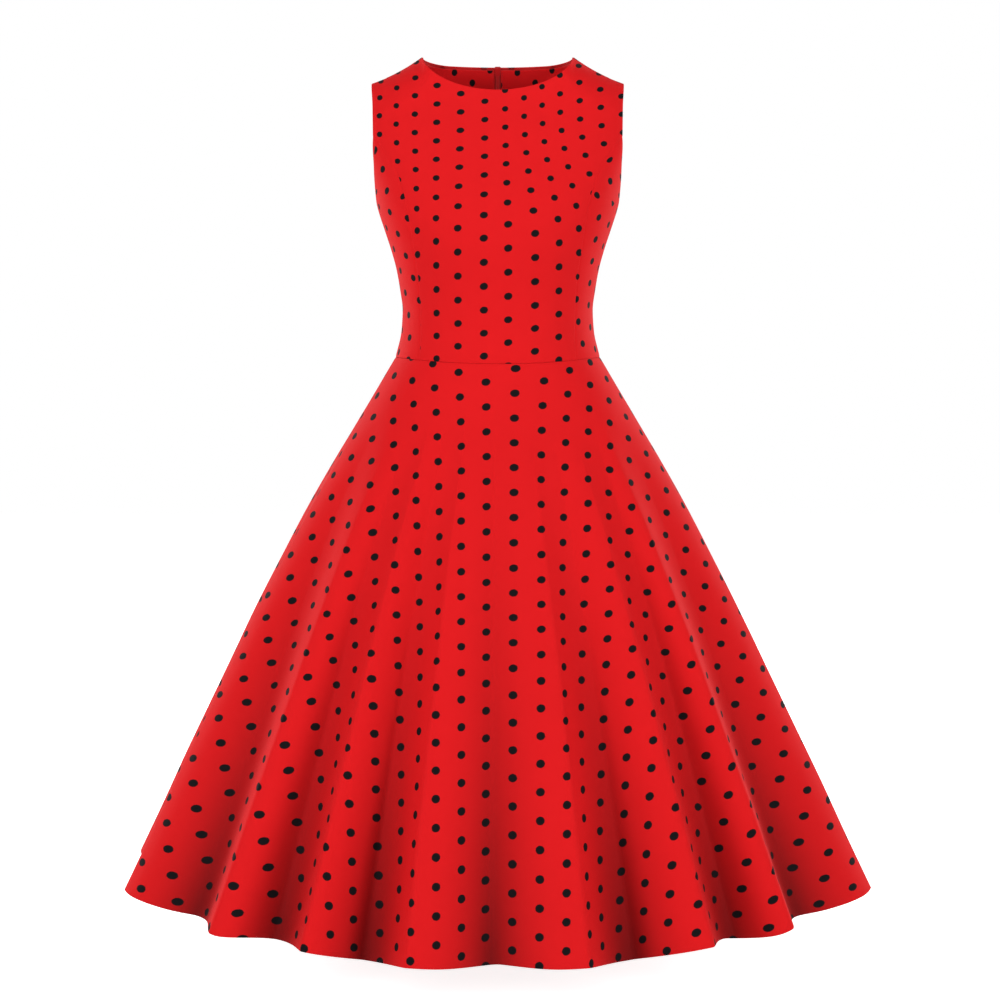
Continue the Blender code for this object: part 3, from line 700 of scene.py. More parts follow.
def even_print(points, pitch, shift, tilt):
    """An evenly spaced print on a panel, turned by a small angle."""
    across, down = np.moveaxis(cloth_map(points), -1, 0)
    turned = across * math.cos(tilt) + down * math.sin(tilt), down * math.cos(tilt) - across * math.sin(tilt)
    return np.stack([(turned[0] - shift[0]) / pitch[0], (turned[1] - shift[1]) / pitch[1]], axis=-1)


def back_print(points, level, side):
    """The bodice back's print: even rows from the waist, and even columns from the middle of the back."""
    share = np.linspace(0, 1, 25)
    xs = points[..., 0, None] * share
    power = blend(BODY, "squareness", level)[..., None]
    part = np.minimum(np.abs(xs) / blend(BODY, "half_width", level)[..., None], 1)
    depths = blend(BODY, "back", level)[..., None] * (1 - part**power) ** (1 / power)
    across = np.hypot(np.diff(xs, axis=-1), np.diff(depths, axis=-1)).sum(axis=-1)
    levels = WAIST + (level[..., None] - WAIST) * share
    depths = bodice_depth(points[..., 0, None], levels, 1)
    up = np.hypot(np.diff(levels, axis=-1), np.diff(depths, axis=-1)).sum(axis=-1)
    column = side * (across + BACK_SHIFT[0]) / BACK_PITCH[0]
    return np.stack([column, (up + BACK_SHIFT[1]) / BACK_PITCH[1]], axis=-1)


def skirt_maps(points, middle):
    """The skirt's cloth laid flat: a fan round the waist edge, with the grain down its middle column."""
    across = steps_along(points, 1)
    across = across - across[:, middle][:, None]
    whole = np.abs(across).max(axis=1, keepdims=True)
    down = steps_along(points, 0).mean(axis=1, keepdims=True)
    angle = across / whole * SKIRT_SWEEP
    radius = SKIRT_RADIUS + down
    flat = np.stack([radius * np.sin(angle), radius * np.cos(angle) - SKIRT_RADIUS], axis=-1)
    u, v = flat[..., 0], flat[..., 1]
    lie = v + SKIRT_ROW_TILT * u + SKIRT_ROW_BEND * u * u - SKIRT_FIRST_ROW
    marks = np.stack([blend(SKIRT_COLUMNS, "dots", u), blend(SKIRT_ROWS_DOWN, "dots", lie) + 0.5], axis=-1)
    return {"print": marks, "cloth": flat}


# ---- Materials

RED = (0.58, 0.0050, 0.0070, 1)
DEEP_RED = (0.54, 0.0045, 0.0062, 1)
FOLD_SHADE_KEPT = 0.27  # painted shade: the share of its brightness that the red keeps in the bottom of a full fold
# How closely the painted fold shade gathers towards the bottom of each fold
FOLD_SHADE_POWER = 1.9
REVERSE_RED = (0.46, 0.0120, 0.0130, 1)
INK = (0.0030, 0.0022, 0.0032, 1)
TAPE_RED = (0.42, 0.0060, 0.0080, 1)
COIL_RED = (0.52, 0.0120, 0.0130, 1)
LACQUER_RED = (0.50, 0.0080, 0.0100, 1)
THREAD_RED = (0.30, 0.0040, 0.0060, 1)
DOT_ACROSS = 0.162
DOT_DOWN = 0.151
DOT_SOFTNESS = 0.07
DOT_WOBBLE = 0.16
THREAD_PITCH = 0.00045
WOBBLE_SCALE, SLUB_SCALE, UNEVEN_SCALE, SHADE_SCALE = 420.0, 900.0, 38.0, 9.0
RIB_TURN = 7000.0  # radians of the tape's ribs for each metre


def calculate(tree, operation, *values):
    """A math node on the given sockets and numbers."""
    node = tree.nodes.new("ShaderNodeMath")
    node.operation = operation
    for socket, value in zip(node.inputs, values):
        if isinstance(value, (int, float)):
            socket.default_value = value
        else:
            tree.links.new(value, socket)
    return node.outputs[0]


def noise(tree, vector, scale, detail=2.0):
    node = tree.nodes.new("ShaderNodeTexNoise")
    node.inputs["Scale"].default_value = scale
    node.inputs["Detail"].default_value = detail
    tree.links.new(vector, node.inputs["Vector"])
    return node.outputs["Fac"]


def mixed(tree, share, first, second):
    """A mix of two colours, each a socket or four numbers."""
    node = tree.nodes.new("ShaderNodeMix")
    node.data_type = "RGBA"
    tree.links.new(share, node.inputs["Factor"])
    for socket, value in ((node.inputs[6], first), (node.inputs[7], second)):
        if isinstance(value, tuple):
            socket.default_value = value
        else:
            tree.links.new(value, socket)
    return node.outputs[2]


def uv_map(tree, name):
    node = tree.nodes.new("ShaderNodeUVMap")
    node.uv_map = name
    return node.outputs[0]


def object_place(tree):
    return tree.nodes.new("ShaderNodeTexCoord").outputs["Object"]


def split(tree, vector):
    node = tree.nodes.new("ShaderNodeSeparateXYZ")
    tree.links.new(vector, node.inputs[0])
    return node.outputs[0], node.outputs[1]


def dot_mask(tree):
    """1 inside the dots and 0 outside them."""
    column, row = split(tree, uv_map(tree, "print"))
    nearest = calculate(tree, "ROUND", column)
    across = calculate(tree, "SUBTRACT", column, nearest)
    count = calculate(tree, "ABSOLUTE", nearest)
    half_row = calculate(tree, "FRACT", calculate(tree, "MULTIPLY", count, 0.5))
    lowered = calculate(tree, "ADD", row, half_row)
    down = calculate(tree, "SUBTRACT", lowered, calculate(tree, "ROUND", lowered))
    squares = [
        calculate(tree, "POWER", calculate(tree, "ABSOLUTE", calculate(tree, "DIVIDE", reach, radius)), 2.0)
        for reach, radius in ((across, DOT_ACROSS), (down, DOT_DOWN))
    ]
    distance = calculate(tree, "SQRT", calculate(tree, "ADD", *squares))
    wobble = noise(tree, uv_map(tree, "cloth"), WOBBLE_SCALE)
    edge = calculate(tree, "MULTIPLY_ADD", wobble, DOT_WOBBLE, -DOT_WOBBLE / 2)
    node = tree.nodes.new("ShaderNodeMapRange")
    node.interpolation_type = "SMOOTHSTEP"
    tree.links.new(calculate(tree, "ADD", distance, edge), node.inputs["Value"])
    node.inputs["From Min"].default_value = 1 + DOT_SOFTNESS
    node.inputs["From Max"].default_value = 1 - DOT_SOFTNESS
    return node.outputs["Result"]


def weave_height(tree):
    """Threads over and under each other, with the cloth's faint unevenness."""
    along, down = split(tree, uv_map(tree, "cloth"))
    turns = 2 * math.pi / THREAD_PITCH
    threads = [
        calculate(tree, "SINE", calculate(tree, "MULTIPLY", way, turns)) for way in (along, down)
    ]
    crossed = calculate(tree, "MULTIPLY", *threads)
    slub = noise(tree, uv_map(tree, "cloth"), SLUB_SCALE)
    uneven = noise(tree, object_place(tree), UNEVEN_SCALE, 3.0)
    height = calculate(tree, "MULTIPLY_ADD", crossed, 0.22, slub)
    return calculate(tree, "MULTIPLY_ADD", uneven, 2.2, height)


def new_material(name, roughness, **sockets):
    material = bpy.data.materials.new(name)
    material.use_nodes = True
    shader = material.node_tree.nodes["Principled BSDF"]
    shader.inputs["Roughness"].default_value = roughness
    for socket, value in sockets.items():
        shader.inputs[socket.replace("_", " ").title().replace("Ior", "IOR")].default_value = value
    return material, material.node_tree, shader


def darker(colour, share):
    return tuple(share * part for part in colour[:3]) + (1,)


def bumped(tree, shader, height, distance, strength=1.0):
    node = tree.nodes.new("ShaderNodeBump")
    node.inputs["Distance"].default_value = distance
    node.inputs["Strength"].default_value = strength
    tree.links.new(height, node.inputs["Height"])
    tree.links.new(node.outputs[0], shader.inputs["Normal"])


def cloth_material(name, light, deep, ink_share):
    """Smooth matte woven cloth with its dots, printed through by the given share, and with painted shade
    darkening it towards the bottom of the skirt's folds.
    """
    material, tree, shader = new_material(
        name,
        0.82,
        sheen_weight=0.04,
        sheen_roughness=0.32,
        sheen_tint=(1.0, 0.25, 0.25, 1),
        specular_ior_level=0.12,
    )
    shade = noise(tree, object_place(tree), SHADE_SCALE, 3.0)
    cloth = mixed(tree, shade, light, deep)
    # Painted shade: the "fold" map darkens the cloth towards the bottom of each of the skirt's folds
    fold_shade_share = split(tree, uv_map(tree, "fold"))[0]
    shadow = calculate(tree, "POWER", fold_shade_share, FOLD_SHADE_POWER)
    cloth = mixed(tree, shadow, cloth, darker(deep, FOLD_SHADE_KEPT))
    dots = calculate(tree, "MULTIPLY", dot_mask(tree), ink_share)
    tree.links.new(mixed(tree, dots, cloth, INK), shader.inputs["Base Color"])
    bumped(tree, shader, weave_height(tree), 0.00012, 0.6)
    return material


def tape_material():
    looks = {"sheen_weight": 0.15, "specular_ior_level": 0.2}
    material, tree, shader = new_material("zip_tape_weave", 0.85, **looks)
    along, down = split(tree, uv_map(tree, "cloth"))
    slanted = calculate(tree, "ADD", along, down)
    ribs = calculate(tree, "SINE", calculate(tree, "MULTIPLY", slanted, RIB_TURN))
    tint = calculate(tree, "MULTIPLY_ADD", ribs, 0.25, 0.5)
    tree.links.new(mixed(tree, tint, TAPE_RED, darker(TAPE_RED, 0.7)), shader.inputs["Base Color"])
    bumped(tree, shader, ribs, 0.00012, 0.5)
    return material


def grained_material(name, colour, roughness, **sockets):
    """A hard, lightly worn finish."""
    material, tree, shader = new_material(name, roughness, **sockets)
    wear = noise(tree, object_place(tree), 900.0, 4.0)
    tree.links.new(mixed(tree, wear, colour, darker(colour, 0.75)), shader.inputs["Base Color"])
    bumped(tree, shader, wear, 0.00004, 0.5)
    return material


FRONT_CLOTH = cloth_material("dress_cloth_right_side", RED, DEEP_RED, 1.0)
BACK_CLOTH = cloth_material("dress_cloth_reverse", REVERSE_RED, REVERSE_RED, 0.45)
TAPE = tape_material()
COIL = grained_material("zip_coil_nylon", COIL_RED, 0.42)
METAL = grained_material("zip_red_lacquer", LACQUER_RED, 0.30, coat_weight=0.4)
THREAD = grained_material("sewing_thread", THREAD_RED, 0.7)


# ---- The cloth pieces


def make_bodice():
    points, level = middle_grid(-1, 0.0, (-1, 1))
    points = creased(points, grid_normals(points)[0], -1)
    maps = {"print": front_print(points, level), "cloth": cloth_map(points)}
    panel("bodice_front_centre", points, maps, ("low",))
    for side, hand in ((-1, "right"), (1, "left")):
        points, level = middle_grid(1, ZIP_HALF_GAP, (side,))
        points = creased(points, grid_normals(points)[0], 1)
        maps = {"print": back_print(points, level, side), "cloth": cloth_map(points)}
        panel(f"bodice_back_{hand}", points, maps, ("low",))
        for face, which in ((-1, "front"), (1, "back")):
            points, level = side_grid(face, side)
            points = creased(points, grid_normals(points)[0], face)
            tilt = math.radians(-side * face * SIDE_TILT)
            maps = {"print": even_print(points, SIDE_PITCH, SIDE_SHIFT, tilt), "cloth": cloth_map(points)}
            panel(f"bodice_{which}_side_{hand}", points, maps, ("low", "first", "last"))


def panel(name, points, maps, seams):
    shell(name, points, maps, seams, (FRONT_CLOTH, BACK_CLOTH), (name,))


def make_skirt():
    drops = np.concatenate([np.array(SEAM_STEPS) / 0.7, np.linspace(0.014, 1, SKIRT_ROWS)])
    for name, start, end, middle_turn in (
        ("skirt_front", -90, 90, 0),
        ("skirt_back_left", 90, 180, 180),
        ("skirt_back_right", 180, 270, 180),
    ):
        turns = skirt_turns(start, end)
        points, fold_shade_share = skirt_points(turns, drops)
        if start != -90:
            points = opened(points, drops, 1 if start == 90 else -1)
        maps = skirt_maps(points, int(np.argmin(np.abs(turns - middle_turn))))
        # The "fold" map carries how deep each point lies in its fold, for the painted shade
        maps["fold"] = np.stack([fold_shade_share, np.zeros(fold_shade_share.shape)], axis=-1)
        panel(name, points, maps, ("low", "first", "last"))


FACING_PITCH = 0.0228, 0.0280
FACING_PHASES = {-1: (-0.0782, 0.0, 0.0040), 1: (0.0252, 1.0, 0.0040)}  # a column's place, number and row
FACING_RISE = 0.0015


def make_facings():
    """The turned-in strip behind the back neck, with its right side to the inside."""
    for side, hand in ((-1, "right"), (1, "left")):
        shares = np.linspace(0, FACING_REACH, 60)[None, :]
        top = panel_top(shares, 1) - FACING_TOP
        low = ARMHOLE_SIDE + (top - ARMHOLE_SIDE) * 0.30
        level = low + (top - low) * np.linspace(0, 1, 40)[:, None]
        edge = middle_edge(level) - SEAM_GAP / 2
        x = side * (FACING_INNER + (edge - FACING_INNER) * shares)
        points = bodice_points(x, bodice_depth(x, level, 1), level, 1)
        place, number, height = FACING_PHASES[side]
        column = (x - place) / FACING_PITCH[0] + number
        row = (points[..., 2] - height - FACING_RISE * column) / FACING_PITCH[1]
        maps = {"print": np.stack([column, row], axis=-1), "cloth": cloth_map(points)}
        name = f"back_neck_facing_{hand}"
        looks = (BACK_CLOTH, FRONT_CLOTH)
        shell(name, points, maps, (), looks, (name,), FACING_THICKNESS, FACING_DEPTH)


# ---- The zip


def centre_back(x, top=0.0, start=0.0, end=ZIP_END, step=0.004):
    """Points down the middle of the back, from a height on the bodice to a share of the skirt."""
    x = np.atleast_1d(x)[None, :]
    parts = []
    if not start:
        level = np.linspace(top, WAIST, round((top - WAIST) / step))[:, None]
        parts.append(bodice_points(x, bodice_depth(x, level, 1), level, 1))
    drop = np.linspace(start, end, max(round((end - start) * 0.66 / step), 4))
    drop = drop if start else drop[1:]
    middle = skirt_points(np.array([180.0]), drop)[0]
    xs = np.repeat(x, len(drop), axis=0)[..., None]
    parts.append(np.concatenate([xs, middle[:, [0] * x.size, 1:]], axis=-1))
    return np.concatenate(parts)


def make_tapes():
    for side, hand in ((-1, "right"), (1, "left")):
        across = side * np.linspace(TAPE_INNER, TAPE_OUTER, 8)
        points = centre_back(across, top=-NECK_DROP_BACK)
        name = f"zip_tape_{hand}"
        maps = {"cloth": cloth_map(points)}
        shell(name, points, maps, (), (TAPE, TAPE), (name,), TAPE_THICKNESS, TAPE_DEPTH)


def path_frames(line, pitch):
    """Evenly spaced places down a line in the centre plane, as frames: across, outward and up."""
    travelled = np.concatenate([[0], np.cumsum(np.linalg.norm(np.diff(line, axis=0), axis=1))])
    places = np.arange(pitch / 2, travelled[-1], pitch)
    points = np.stack([np.interp(places, travelled, line[:, axis]) for axis in range(3)], axis=-1)
    ups = -unit(np.gradient(points, axis=0))
    across = np.array([1.0, 0.0, 0.0])
    outs = unit(np.cross(across, ups))
    outs *= np.sign(outs[:, 1:2])
    return points, outs, ups


def ring_faces(rings, around):
    """Faces that join closed rings of points one after another, with a cap at either end."""
    faces = []
    for k in range(rings - 1):
        for j in range(around):
            a, b = k * around + j, k * around + (j + 1) % around
            faces.append((a, b, b + around, a + around))
    faces.append(tuple(range(around))[::-1])
    faces.append(tuple(range((rings - 1) * around, rings * around)))
    return faces


def pod(half_length, half_width, half_height, around=10, along=6):
    """A rounded bar along x: its points, and faces that close it."""
    angles = np.linspace(0, 2 * math.pi, around, endpoint=False)
    turns = np.linspace(-math.pi / 2, math.pi / 2, along + 2)[1:-1]
    rings = []
    for turn in turns:
        size = np.cos(turn) ** 0.5
        x = np.full(around, math.sin(turn) * half_length)
        outward, up = half_height * size * np.cos(angles), half_width * size * np.sin(angles)
        rings.append(np.stack([x, outward, up], axis=-1))
    return np.concatenate(rings), ring_faces(along, around)


def repeated(shape, origins, xs, ys, zs):
    """Copies of a shape at many frames, as one list of points and one of faces."""
    points, faces = shape
    points_out, faces_out = [], []
    for k, (origin, x, y, z) in enumerate(zip(origins, xs, ys, zs)):
        points_out.append(origin + points @ np.stack([x, y, z]))
        faces_out += [tuple(index + k * len(points) for index in face) for face in faces]
    return np.concatenate(points_out), faces_out


def solid(name, groups, material, body, replaced=()):
    """One mesh from groups of points and faces."""
    mesh = bpy.data.meshes.new(name)
    points, faces, count = [], [], 0
    for group_points, group_faces in groups:
        points += np.asarray(group_points).tolist()
        faces += [tuple(index + count for index in face) for face in group_faces]
        count = len(points)
    mesh.from_pydata(points, [], faces)
    shape = bmesh.new()
    shape.from_mesh(mesh)
    bmesh.ops.recalc_face_normals(shape, faces=shape.faces)
    shape.to_mesh(mesh)
    shape.free()
    mesh.materials.append(material)
    mesh.shade_smooth()
    mesh.set_sharp_from_angle(angle=math.radians(50))
    placed(name, mesh, body, replaced)


TOOTH_PITCH = 0.0014
TOOTH_HALF_HEIGHT = 0.00046
TOOTH_REACH = 0.0006  # how far a tooth passes the middle
CORD_HALF_WIDTH = 0.0005


def tube(line, outs, half_width, half_height, around=10):
    """A flattened tube along a line of points, closed at its ends."""
    angles = np.linspace(0, 2 * math.pi, around, endpoint=False)[:, None]
    wide = np.array([half_width, 0.0, 0.0]) * np.cos(angles)
    points = [place + wide + out * half_height * np.sin(angles) for place, out in zip(line, outs)]
    return np.concatenate(points), ring_faces(len(line), around)


def make_coil():
    """Nylon teeth from either side, closed on each other, with a sewing line along each row."""
    line = centre_back([0.0], top=COIL_TOP, end=COIL_END)[:, 0]
    points, outs, ups = path_frames(line, TOOTH_PITCH / 2)
    depth = COIL_DEPTH + COIL_THICKNESS / 2
    middle = (COIL_HALF_WIDTH - TOOTH_REACH) / 2
    half_length = (COIL_HALF_WIDTH + TOOTH_REACH) / 2
    sides = np.where(np.arange(len(points)) % 2 == 0, 1.0, -1.0)[:, None]
    across = np.tile([1.0, 0.0, 0.0], (len(points), 1))
    origins = points - outs * depth + across * sides * middle
    tooth = pod(half_length, TOOTH_HALF_HEIGHT, COIL_THICKNESS / 2)
    groups = [repeated(tooth, origins, across, outs, ups)]
    for side in (-1, 1):
        edge = points + across * side * (COIL_HALF_WIDTH - CORD_HALF_WIDTH)
        low = edge - outs * (COIL_DEPTH + COIL_THICKNESS * 0.72)
        groups.append(tube(low, outs, CORD_HALF_WIDTH, COIL_THICKNESS * 0.26))
    back = points - outs * (COIL_DEPTH + COIL_THICKNESS * 0.86)
    groups.append(tube(back, outs, COIL_HALF_WIDTH - CORD_HALF_WIDTH, COIL_THICKNESS * 0.12))
    solid("zip_coil", groups, COIL, BODY_NAME, ("zip_coil",))


def make_stop():
    """A pressed metal staple across the foot of the teeth."""
    line = centre_back([0.0], start=STOP_START, end=STOP_END)[:, 0]
    run = line[0] - line[-1]
    up = unit(run)
    out = np.array([0.0, up[2], -up[1]])
    shape = pod(COIL_HALF_WIDTH, np.linalg.norm(run) * 0.48, STOP_THICKNESS / 2, around=20, along=12)
    middle = (line[0] + line[-1]) / 2 - out * (STOP_DEPTH + STOP_THICKNESS / 2)
    staple = repeated(shape, [middle], [np.array([1.0, 0.0, 0.0])], [out], [up])
    solid("zip_stop", [staple], METAL, BODY_NAME, ("zip_stop",))


STITCH_HALF_LENGTH = 0.00115
STITCH_PITCH = 0.0029
STITCH_HALF_WIDTH = 0.00022
STITCH_LIE = 0.00006
ZIP_STITCH_PLACES = (-0.0092, 0.0092)
FACING_STITCH_PLACES = (-0.0058, 0.0058)
FACING_STITCH_LENGTH = 0.068


def stitches(line, lift):
    points, outs, ups = path_frames(line, STITCH_PITCH)
    shape = pod(STITCH_HALF_LENGTH, STITCH_HALF_WIDTH, STITCH_HALF_WIDTH * 0.8, around=8, along=5)
    sideways = np.cross(ups, outs)
    return repeated(shape, points + outs * lift, ups, outs, sideways)


def make_stitches():
    rows = []
    for place in ZIP_STITCH_PLACES:
        line = centre_back([place], top=-NECK_DROP_BACK - 0.0015, end=ZIP_END)[:, 0]
        rows.append(stitches(line, STITCH_LIE))
    solid("zip_stitches", rows, THREAD, BODY_NAME)
    rows = []
    for place in FACING_STITCH_PLACES:
        line = centre_back([place], top=-0.0075, end=0.05)[:, 0]
        travelled = np.cumsum(np.linalg.norm(np.diff(line, axis=0, prepend=line[:1]), axis=1))
        inside = FACING_DEPTH + FACING_THICKNESS + STITCH_LIE
        rows.append(stitches(line[travelled < FACING_STITCH_LENGTH], -inside))
    solid("facing_stitches", rows, THREAD, BODY_NAME)


# The slider and its pull, in the slider's own frame: x across, y out of the back, z up the zip
SLIDER_TOP = 0.0065
SLIDER_BOTTOM = -0.0050
PLATE_TOP_HALF_WIDTH = 0.0040
PLATE_BOTTOM_HALF_WIDTH = 0.0033
SHOULDER_RADIUS, FOOT_RADIUS = 0.0016, 0.0008
PLATE_THICKNESS = 0.0012
PLATE_OUT = 0.0003
PLATE_IN = -(TAPE_DEPTH + TAPE_THICKNESS + 0.0003)
POST_HALF_WIDTH = 0.0011
POST_BOTTOM = 0.0013
STRAP_WIRE = 0.0006
STRAP_RISE = 0.0026
STRAP_LOW, STRAP_HIGH = -0.0005, 0.0040
HINGE_OUT, HINGE_UP = PLATE_OUT + PLATE_THICKNESS + 0.0009, 0.0018
PULL_THICKNESS = 0.0011
PULL_BAR = 0.0011
PULL_EYE_HALF_WIDTH = 0.0015
PULL_EYE_LENGTH = 0.0034
EYE_ROUND = 0.0004
PULL_TOP_HALF_WIDTH = 0.0028
PULL_END_RADIUS = 0.0036
PULL_LENGTH = 0.0220
PULL_CORNER = 0.0009
BEVEL = 0.00022


def slider_frame():
    points = centre_back([0.0], top=SLIDER_LEVEL + 0.0005, step=0.0001)[:11, 0]
    up = unit((points[0] - points[10])[None, :])[0]
    out = np.array([0.0, up[2], -up[1]])
    return Matrix.Translation(Vector(points[5])) @ Matrix(
        ((1, 0, 0, 0), (0, out[1], up[1], 0), (0, out[2], up[2], 0), (0, 0, 0, 1))
    )


def arcs(*rows):
    """Points of arcs in x and z, each by its centre, radius, start and sweep in degrees, and steps."""
    outline = []
    for centre_x, centre_z, radius, start, sweep, steps in rows:
        for k in range(steps + 1):
            angle = math.radians(start + sweep * k / steps)
            outline.append((centre_x + radius * math.cos(angle), centre_z + radius * math.sin(angle)))
    return outline


def plate_outline():
    """Half-round shoulders at the top, and sides that come in to a narrower foot."""
    shoulder, high = PLATE_TOP_HALF_WIDTH - SHOULDER_RADIUS, SLIDER_TOP - SHOULDER_RADIUS
    foot, low = PLATE_BOTTOM_HALF_WIDTH - FOOT_RADIUS, SLIDER_BOTTOM + FOOT_RADIUS
    return arcs(
        (shoulder, high, SHOULDER_RADIUS, 0, 90, 8),
        (-shoulder, high, SHOULDER_RADIUS, 90, 90, 8),
        (-foot, low, FOOT_RADIUS, 180, 90, 8),
        (foot, low, FOOT_RADIUS, 270, 90, 8),
    )


def plate(outline, holes, low, high, bevel):
    """A flat plate with softened edges, as points and faces, from an outline in x and z."""
    curve = bpy.data.curves.new("plate", "CURVE")
    curve.dimensions, curve.fill_mode = "2D", "BOTH"
    curve.extrude, curve.bevel_depth, curve.bevel_resolution = (high - low) / 2 - bevel, bevel, 3
    curve.offset = -bevel
    for ring in [outline] + holes:
        spline = curve.splines.new("POLY")
        spline.points.add(len(ring) - 1)
        spline.use_cyclic_u = True
        for point, (x, z) in zip(spline.points, ring):
            point.co = (x, z, 0, 1)
    helper = bpy.data.objects.new("plate", curve)
    mesh = bpy.data.meshes.new_from_object(helper)
    middle = (low + high) / 2
    points = np.array([(v.co.x, middle - v.co.z, v.co.y) for v in mesh.vertices])
    faces = [tuple(face.vertices) for face in mesh.polygons]
    bpy.data.objects.remove(helper)
    bpy.data.curves.remove(curve)
    bpy.data.meshes.remove(mesh)
    return points, faces


def in_frame(group, frame):
    points, faces = group
    turned = np.array(frame.to_3x3())
    return points @ turned.T + np.array(frame.translation), faces


def bent_wire(stops, radius, width):
    """A strap of oval section through points in the plane x = 0."""
    line = np.array([(0.0, y, z) for y, z in stops])
    ways = unit(np.gradient(line, axis=0))
    sides = np.stack([0 * ways[:, 0], -ways[:, 2], ways[:, 1]], axis=-1)
    return tube(line, sides, width, radius, around=12)


def make_slider(frame):
    out = PLATE_OUT + PLATE_THICKNESS
    groups = [
        plate(plate_outline(), [], PLATE_OUT, out, BEVEL),
        plate(plate_outline(), [], PLATE_IN - PLATE_THICKNESS, PLATE_IN, BEVEL),
    ]
    post = [(-POST_HALF_WIDTH, POST_BOTTOM), (POST_HALF_WIDTH, POST_BOTTOM)]
    post += [(POST_HALF_WIDTH, SLIDER_TOP - 0.0004), (-POST_HALF_WIDTH, SLIDER_TOP - 0.0004)]
    groups.append(plate(post, [], PLATE_IN - 0.0004, PLATE_OUT + 0.0004, 0.0001))
    middle, half = (STRAP_LOW + STRAP_HIGH) / 2, (STRAP_HIGH - STRAP_LOW) / 2
    arch = []
    for k in range(21):
        angle = math.pi * k / 20
        rise = STRAP_RISE * math.sin(angle) ** 0.55
        arch.append((out - 0.0003 + rise, middle - half * math.cos(angle)))
    groups.append(bent_wire(arch, STRAP_WIRE, 0.0009))
    groups = [in_frame(group, frame) for group in groups]
    solid("zip_slider", groups, METAL, BODY_NAME, ("zip_slider",))


def make_pull(frame):
    """A teardrop tab that hangs by its top bar in the slider's strap."""
    half_bar, corner = PULL_BAR / 2, PULL_CORNER
    shoulder = PULL_TOP_HALF_WIDTH - corner
    outline = arcs(
        (shoulder, half_bar - corner, corner, 0, 90, 6),
        (-shoulder, half_bar - corner, corner, 90, 90, 6),
        (0, PULL_END_RADIUS - PULL_LENGTH, PULL_END_RADIUS, 180, 180, 28),
    )
    eye, high = PULL_EYE_HALF_WIDTH - EYE_ROUND, -half_bar - EYE_ROUND
    low = EYE_ROUND - half_bar - PULL_EYE_LENGTH
    hole = arcs(
        (eye, high, EYE_ROUND, 0, 90, 4),
        (-eye, high, EYE_ROUND, 90, 90, 4),
        (-eye, low, EYE_ROUND, 180, 90, 4),
        (eye, low, EYE_ROUND, 270, 90, 4),
    )
    tab = plate(outline, [hole[::-1]], -PULL_THICKNESS / 2, PULL_THICKNESS / 2, BEVEL)
    hung = frame @ Matrix.Translation((0, HINGE_OUT, HINGE_UP))
    solid("zip_pull", [in_frame(tab, hung)], METAL, PULL_BODY, ("zip_pull",))


def make_zip():
    make_tapes()
    make_coil()
    make_stop()
    make_stitches()
    frame = slider_frame()
    make_slider(frame)
    make_pull(frame)


# ---- Camera, lights and floor

CAMERA_PLACE = (0.0, -2.5, -0.38)
CAMERA_LENS, CAMERA_SENSOR = 72.0, 36.0
CAMERA_SHIFT = (0.0023, -0.138)
FLOOR_DROP = 0.06


def make_camera():
    data = bpy.data.cameras.new("camera")
    data.lens, data.sensor_width = CAMERA_LENS, CAMERA_SENSOR
    data.shift_x, data.shift_y = CAMERA_SHIFT
    data.clip_end = 60
    camera = bpy.data.objects.new("camera", data)
    camera.location = CAMERA_PLACE
    camera.rotation_euler = (math.pi / 2, 0, 0)
    bpy.context.scene.collection.objects.link(camera)
    bpy.context.scene.camera = camera


def area_light(name, place, target, size, power):
    data = bpy.data.lights.new(name, "AREA")
    data.shape, data.size, data.energy = "DISK", size, power
    lamp = bpy.data.objects.new(name, data)
    lamp.location = place
    lamp.rotation_euler = (Vector(target) - Vector(place)).to_track_quat("-Z", "Y").to_euler()
    bpy.context.scene.collection.objects.link(lamp)


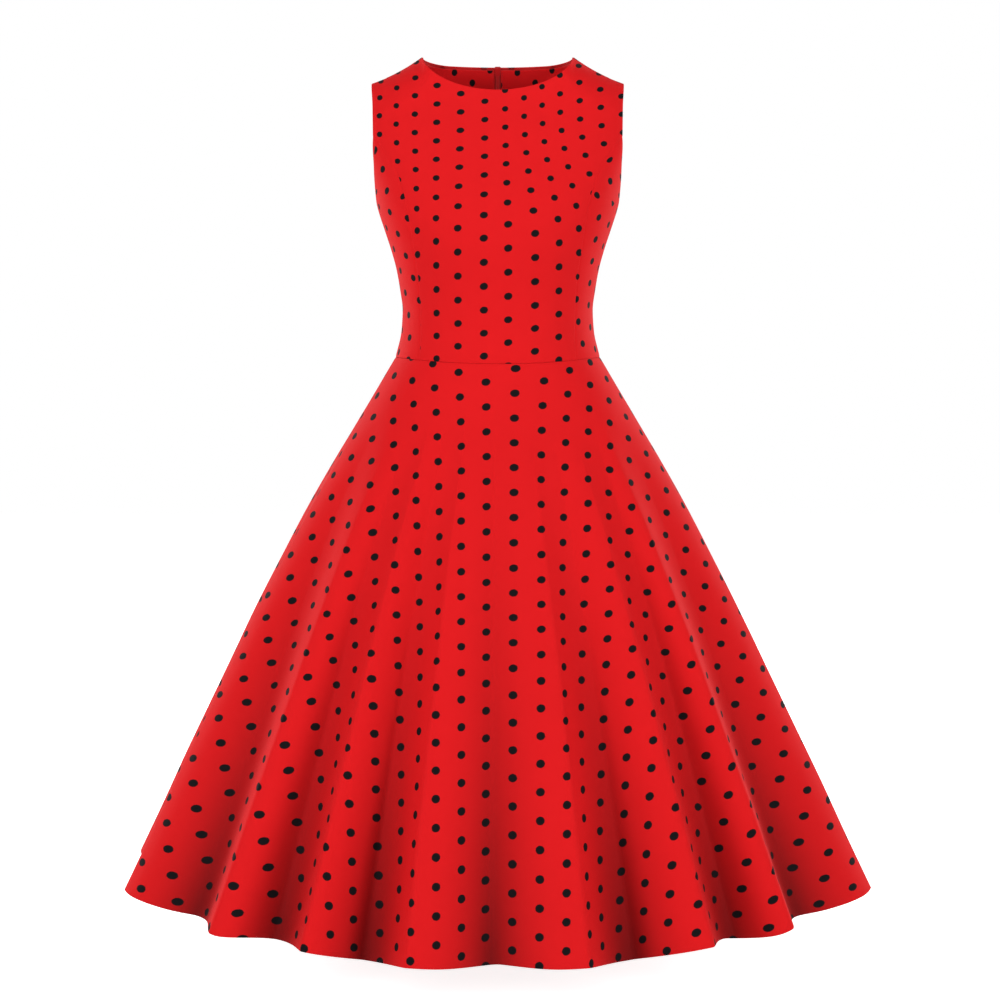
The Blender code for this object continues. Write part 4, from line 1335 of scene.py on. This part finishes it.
Lamp = namedtuple("Lamp", "name x y z size power")
LAMPS = (
    Lamp("left", -2.9, -2.3, 0.5, 1.3, 80),
    Lamp("right", 2.9, -2.3, 0.4, 1.3, 76),
    Lamp("front", -0.4, -3.4, 0.7, 1.6, 20),
    Lamp("left_back", -2.6, 2.3, 0.5, 1.3, 72),
    Lamp("right_back", 2.6, 2.3, 0.5, 1.3, 72),
    Lamp("above", 0.0, -1.3, 2.6, 1.4, 26),
)
LAMP_TARGET = (0, 0, -0.55)
AMBIENT = 0.16
FLOOR_GLOW = 0.86
FLOOR_REACH = 7.0


def make_studio():
    for lamp in LAMPS:
        area_light(lamp.name, (lamp.x, lamp.y, lamp.z), LAMP_TARGET, lamp.size, lamp.power)
    world = bpy.data.worlds.new("studio")
    bpy.context.scene.world = world
    world.use_nodes = True
    nodes, links = world.node_tree.nodes, world.node_tree.links
    background = nodes["Background"]
    background.inputs["Color"].default_value = (1, 1, 1, 1)
    seen, factor = nodes.new("ShaderNodeLightPath"), nodes.new("ShaderNodeMapRange")
    factor.inputs["To Min"].default_value = AMBIENT
    factor.inputs["To Max"].default_value = 1.0
    links.new(seen.outputs["Is Camera Ray"], factor.inputs["Value"])
    links.new(factor.outputs[0], background.inputs["Strength"])
    bpy.context.scene.view_settings.view_transform = "Standard"


def make_floor():
    """A pale floor that fades into the white studio with distance."""
    height = CAD_BOX[0][2] - FLOOR_DROP
    corners = [(x * FLOOR_REACH, y * FLOOR_REACH, height) for x, y in ((-1, -1), (1, -1), (1, 1), (-1, 1))]
    mesh = bpy.data.meshes.new("floor")
    mesh.from_pydata(corners, [], [(0, 1, 2, 3)])
    floor = bpy.data.objects.new("floor", mesh)
    bpy.context.scene.collection.objects.link(floor)
    material, tree, shader = new_material("floor_white", 0.9)
    shader.inputs["Base Color"].default_value = (0.90, 0.90, 0.90, 1)
    shader.inputs["Emission Color"].default_value = (1, 1, 1, 1)
    seen = tree.nodes.new("ShaderNodeLightPath").outputs["Is Camera Ray"]
    tree.links.new(calculate(tree, "MULTIPLY", seen, FLOOR_GLOW), shader.inputs["Emission Strength"])
    mesh.materials.append(material)


make_bodice()
make_skirt()
make_facings()
make_zip()
make_camera()
make_studio()
make_floor()
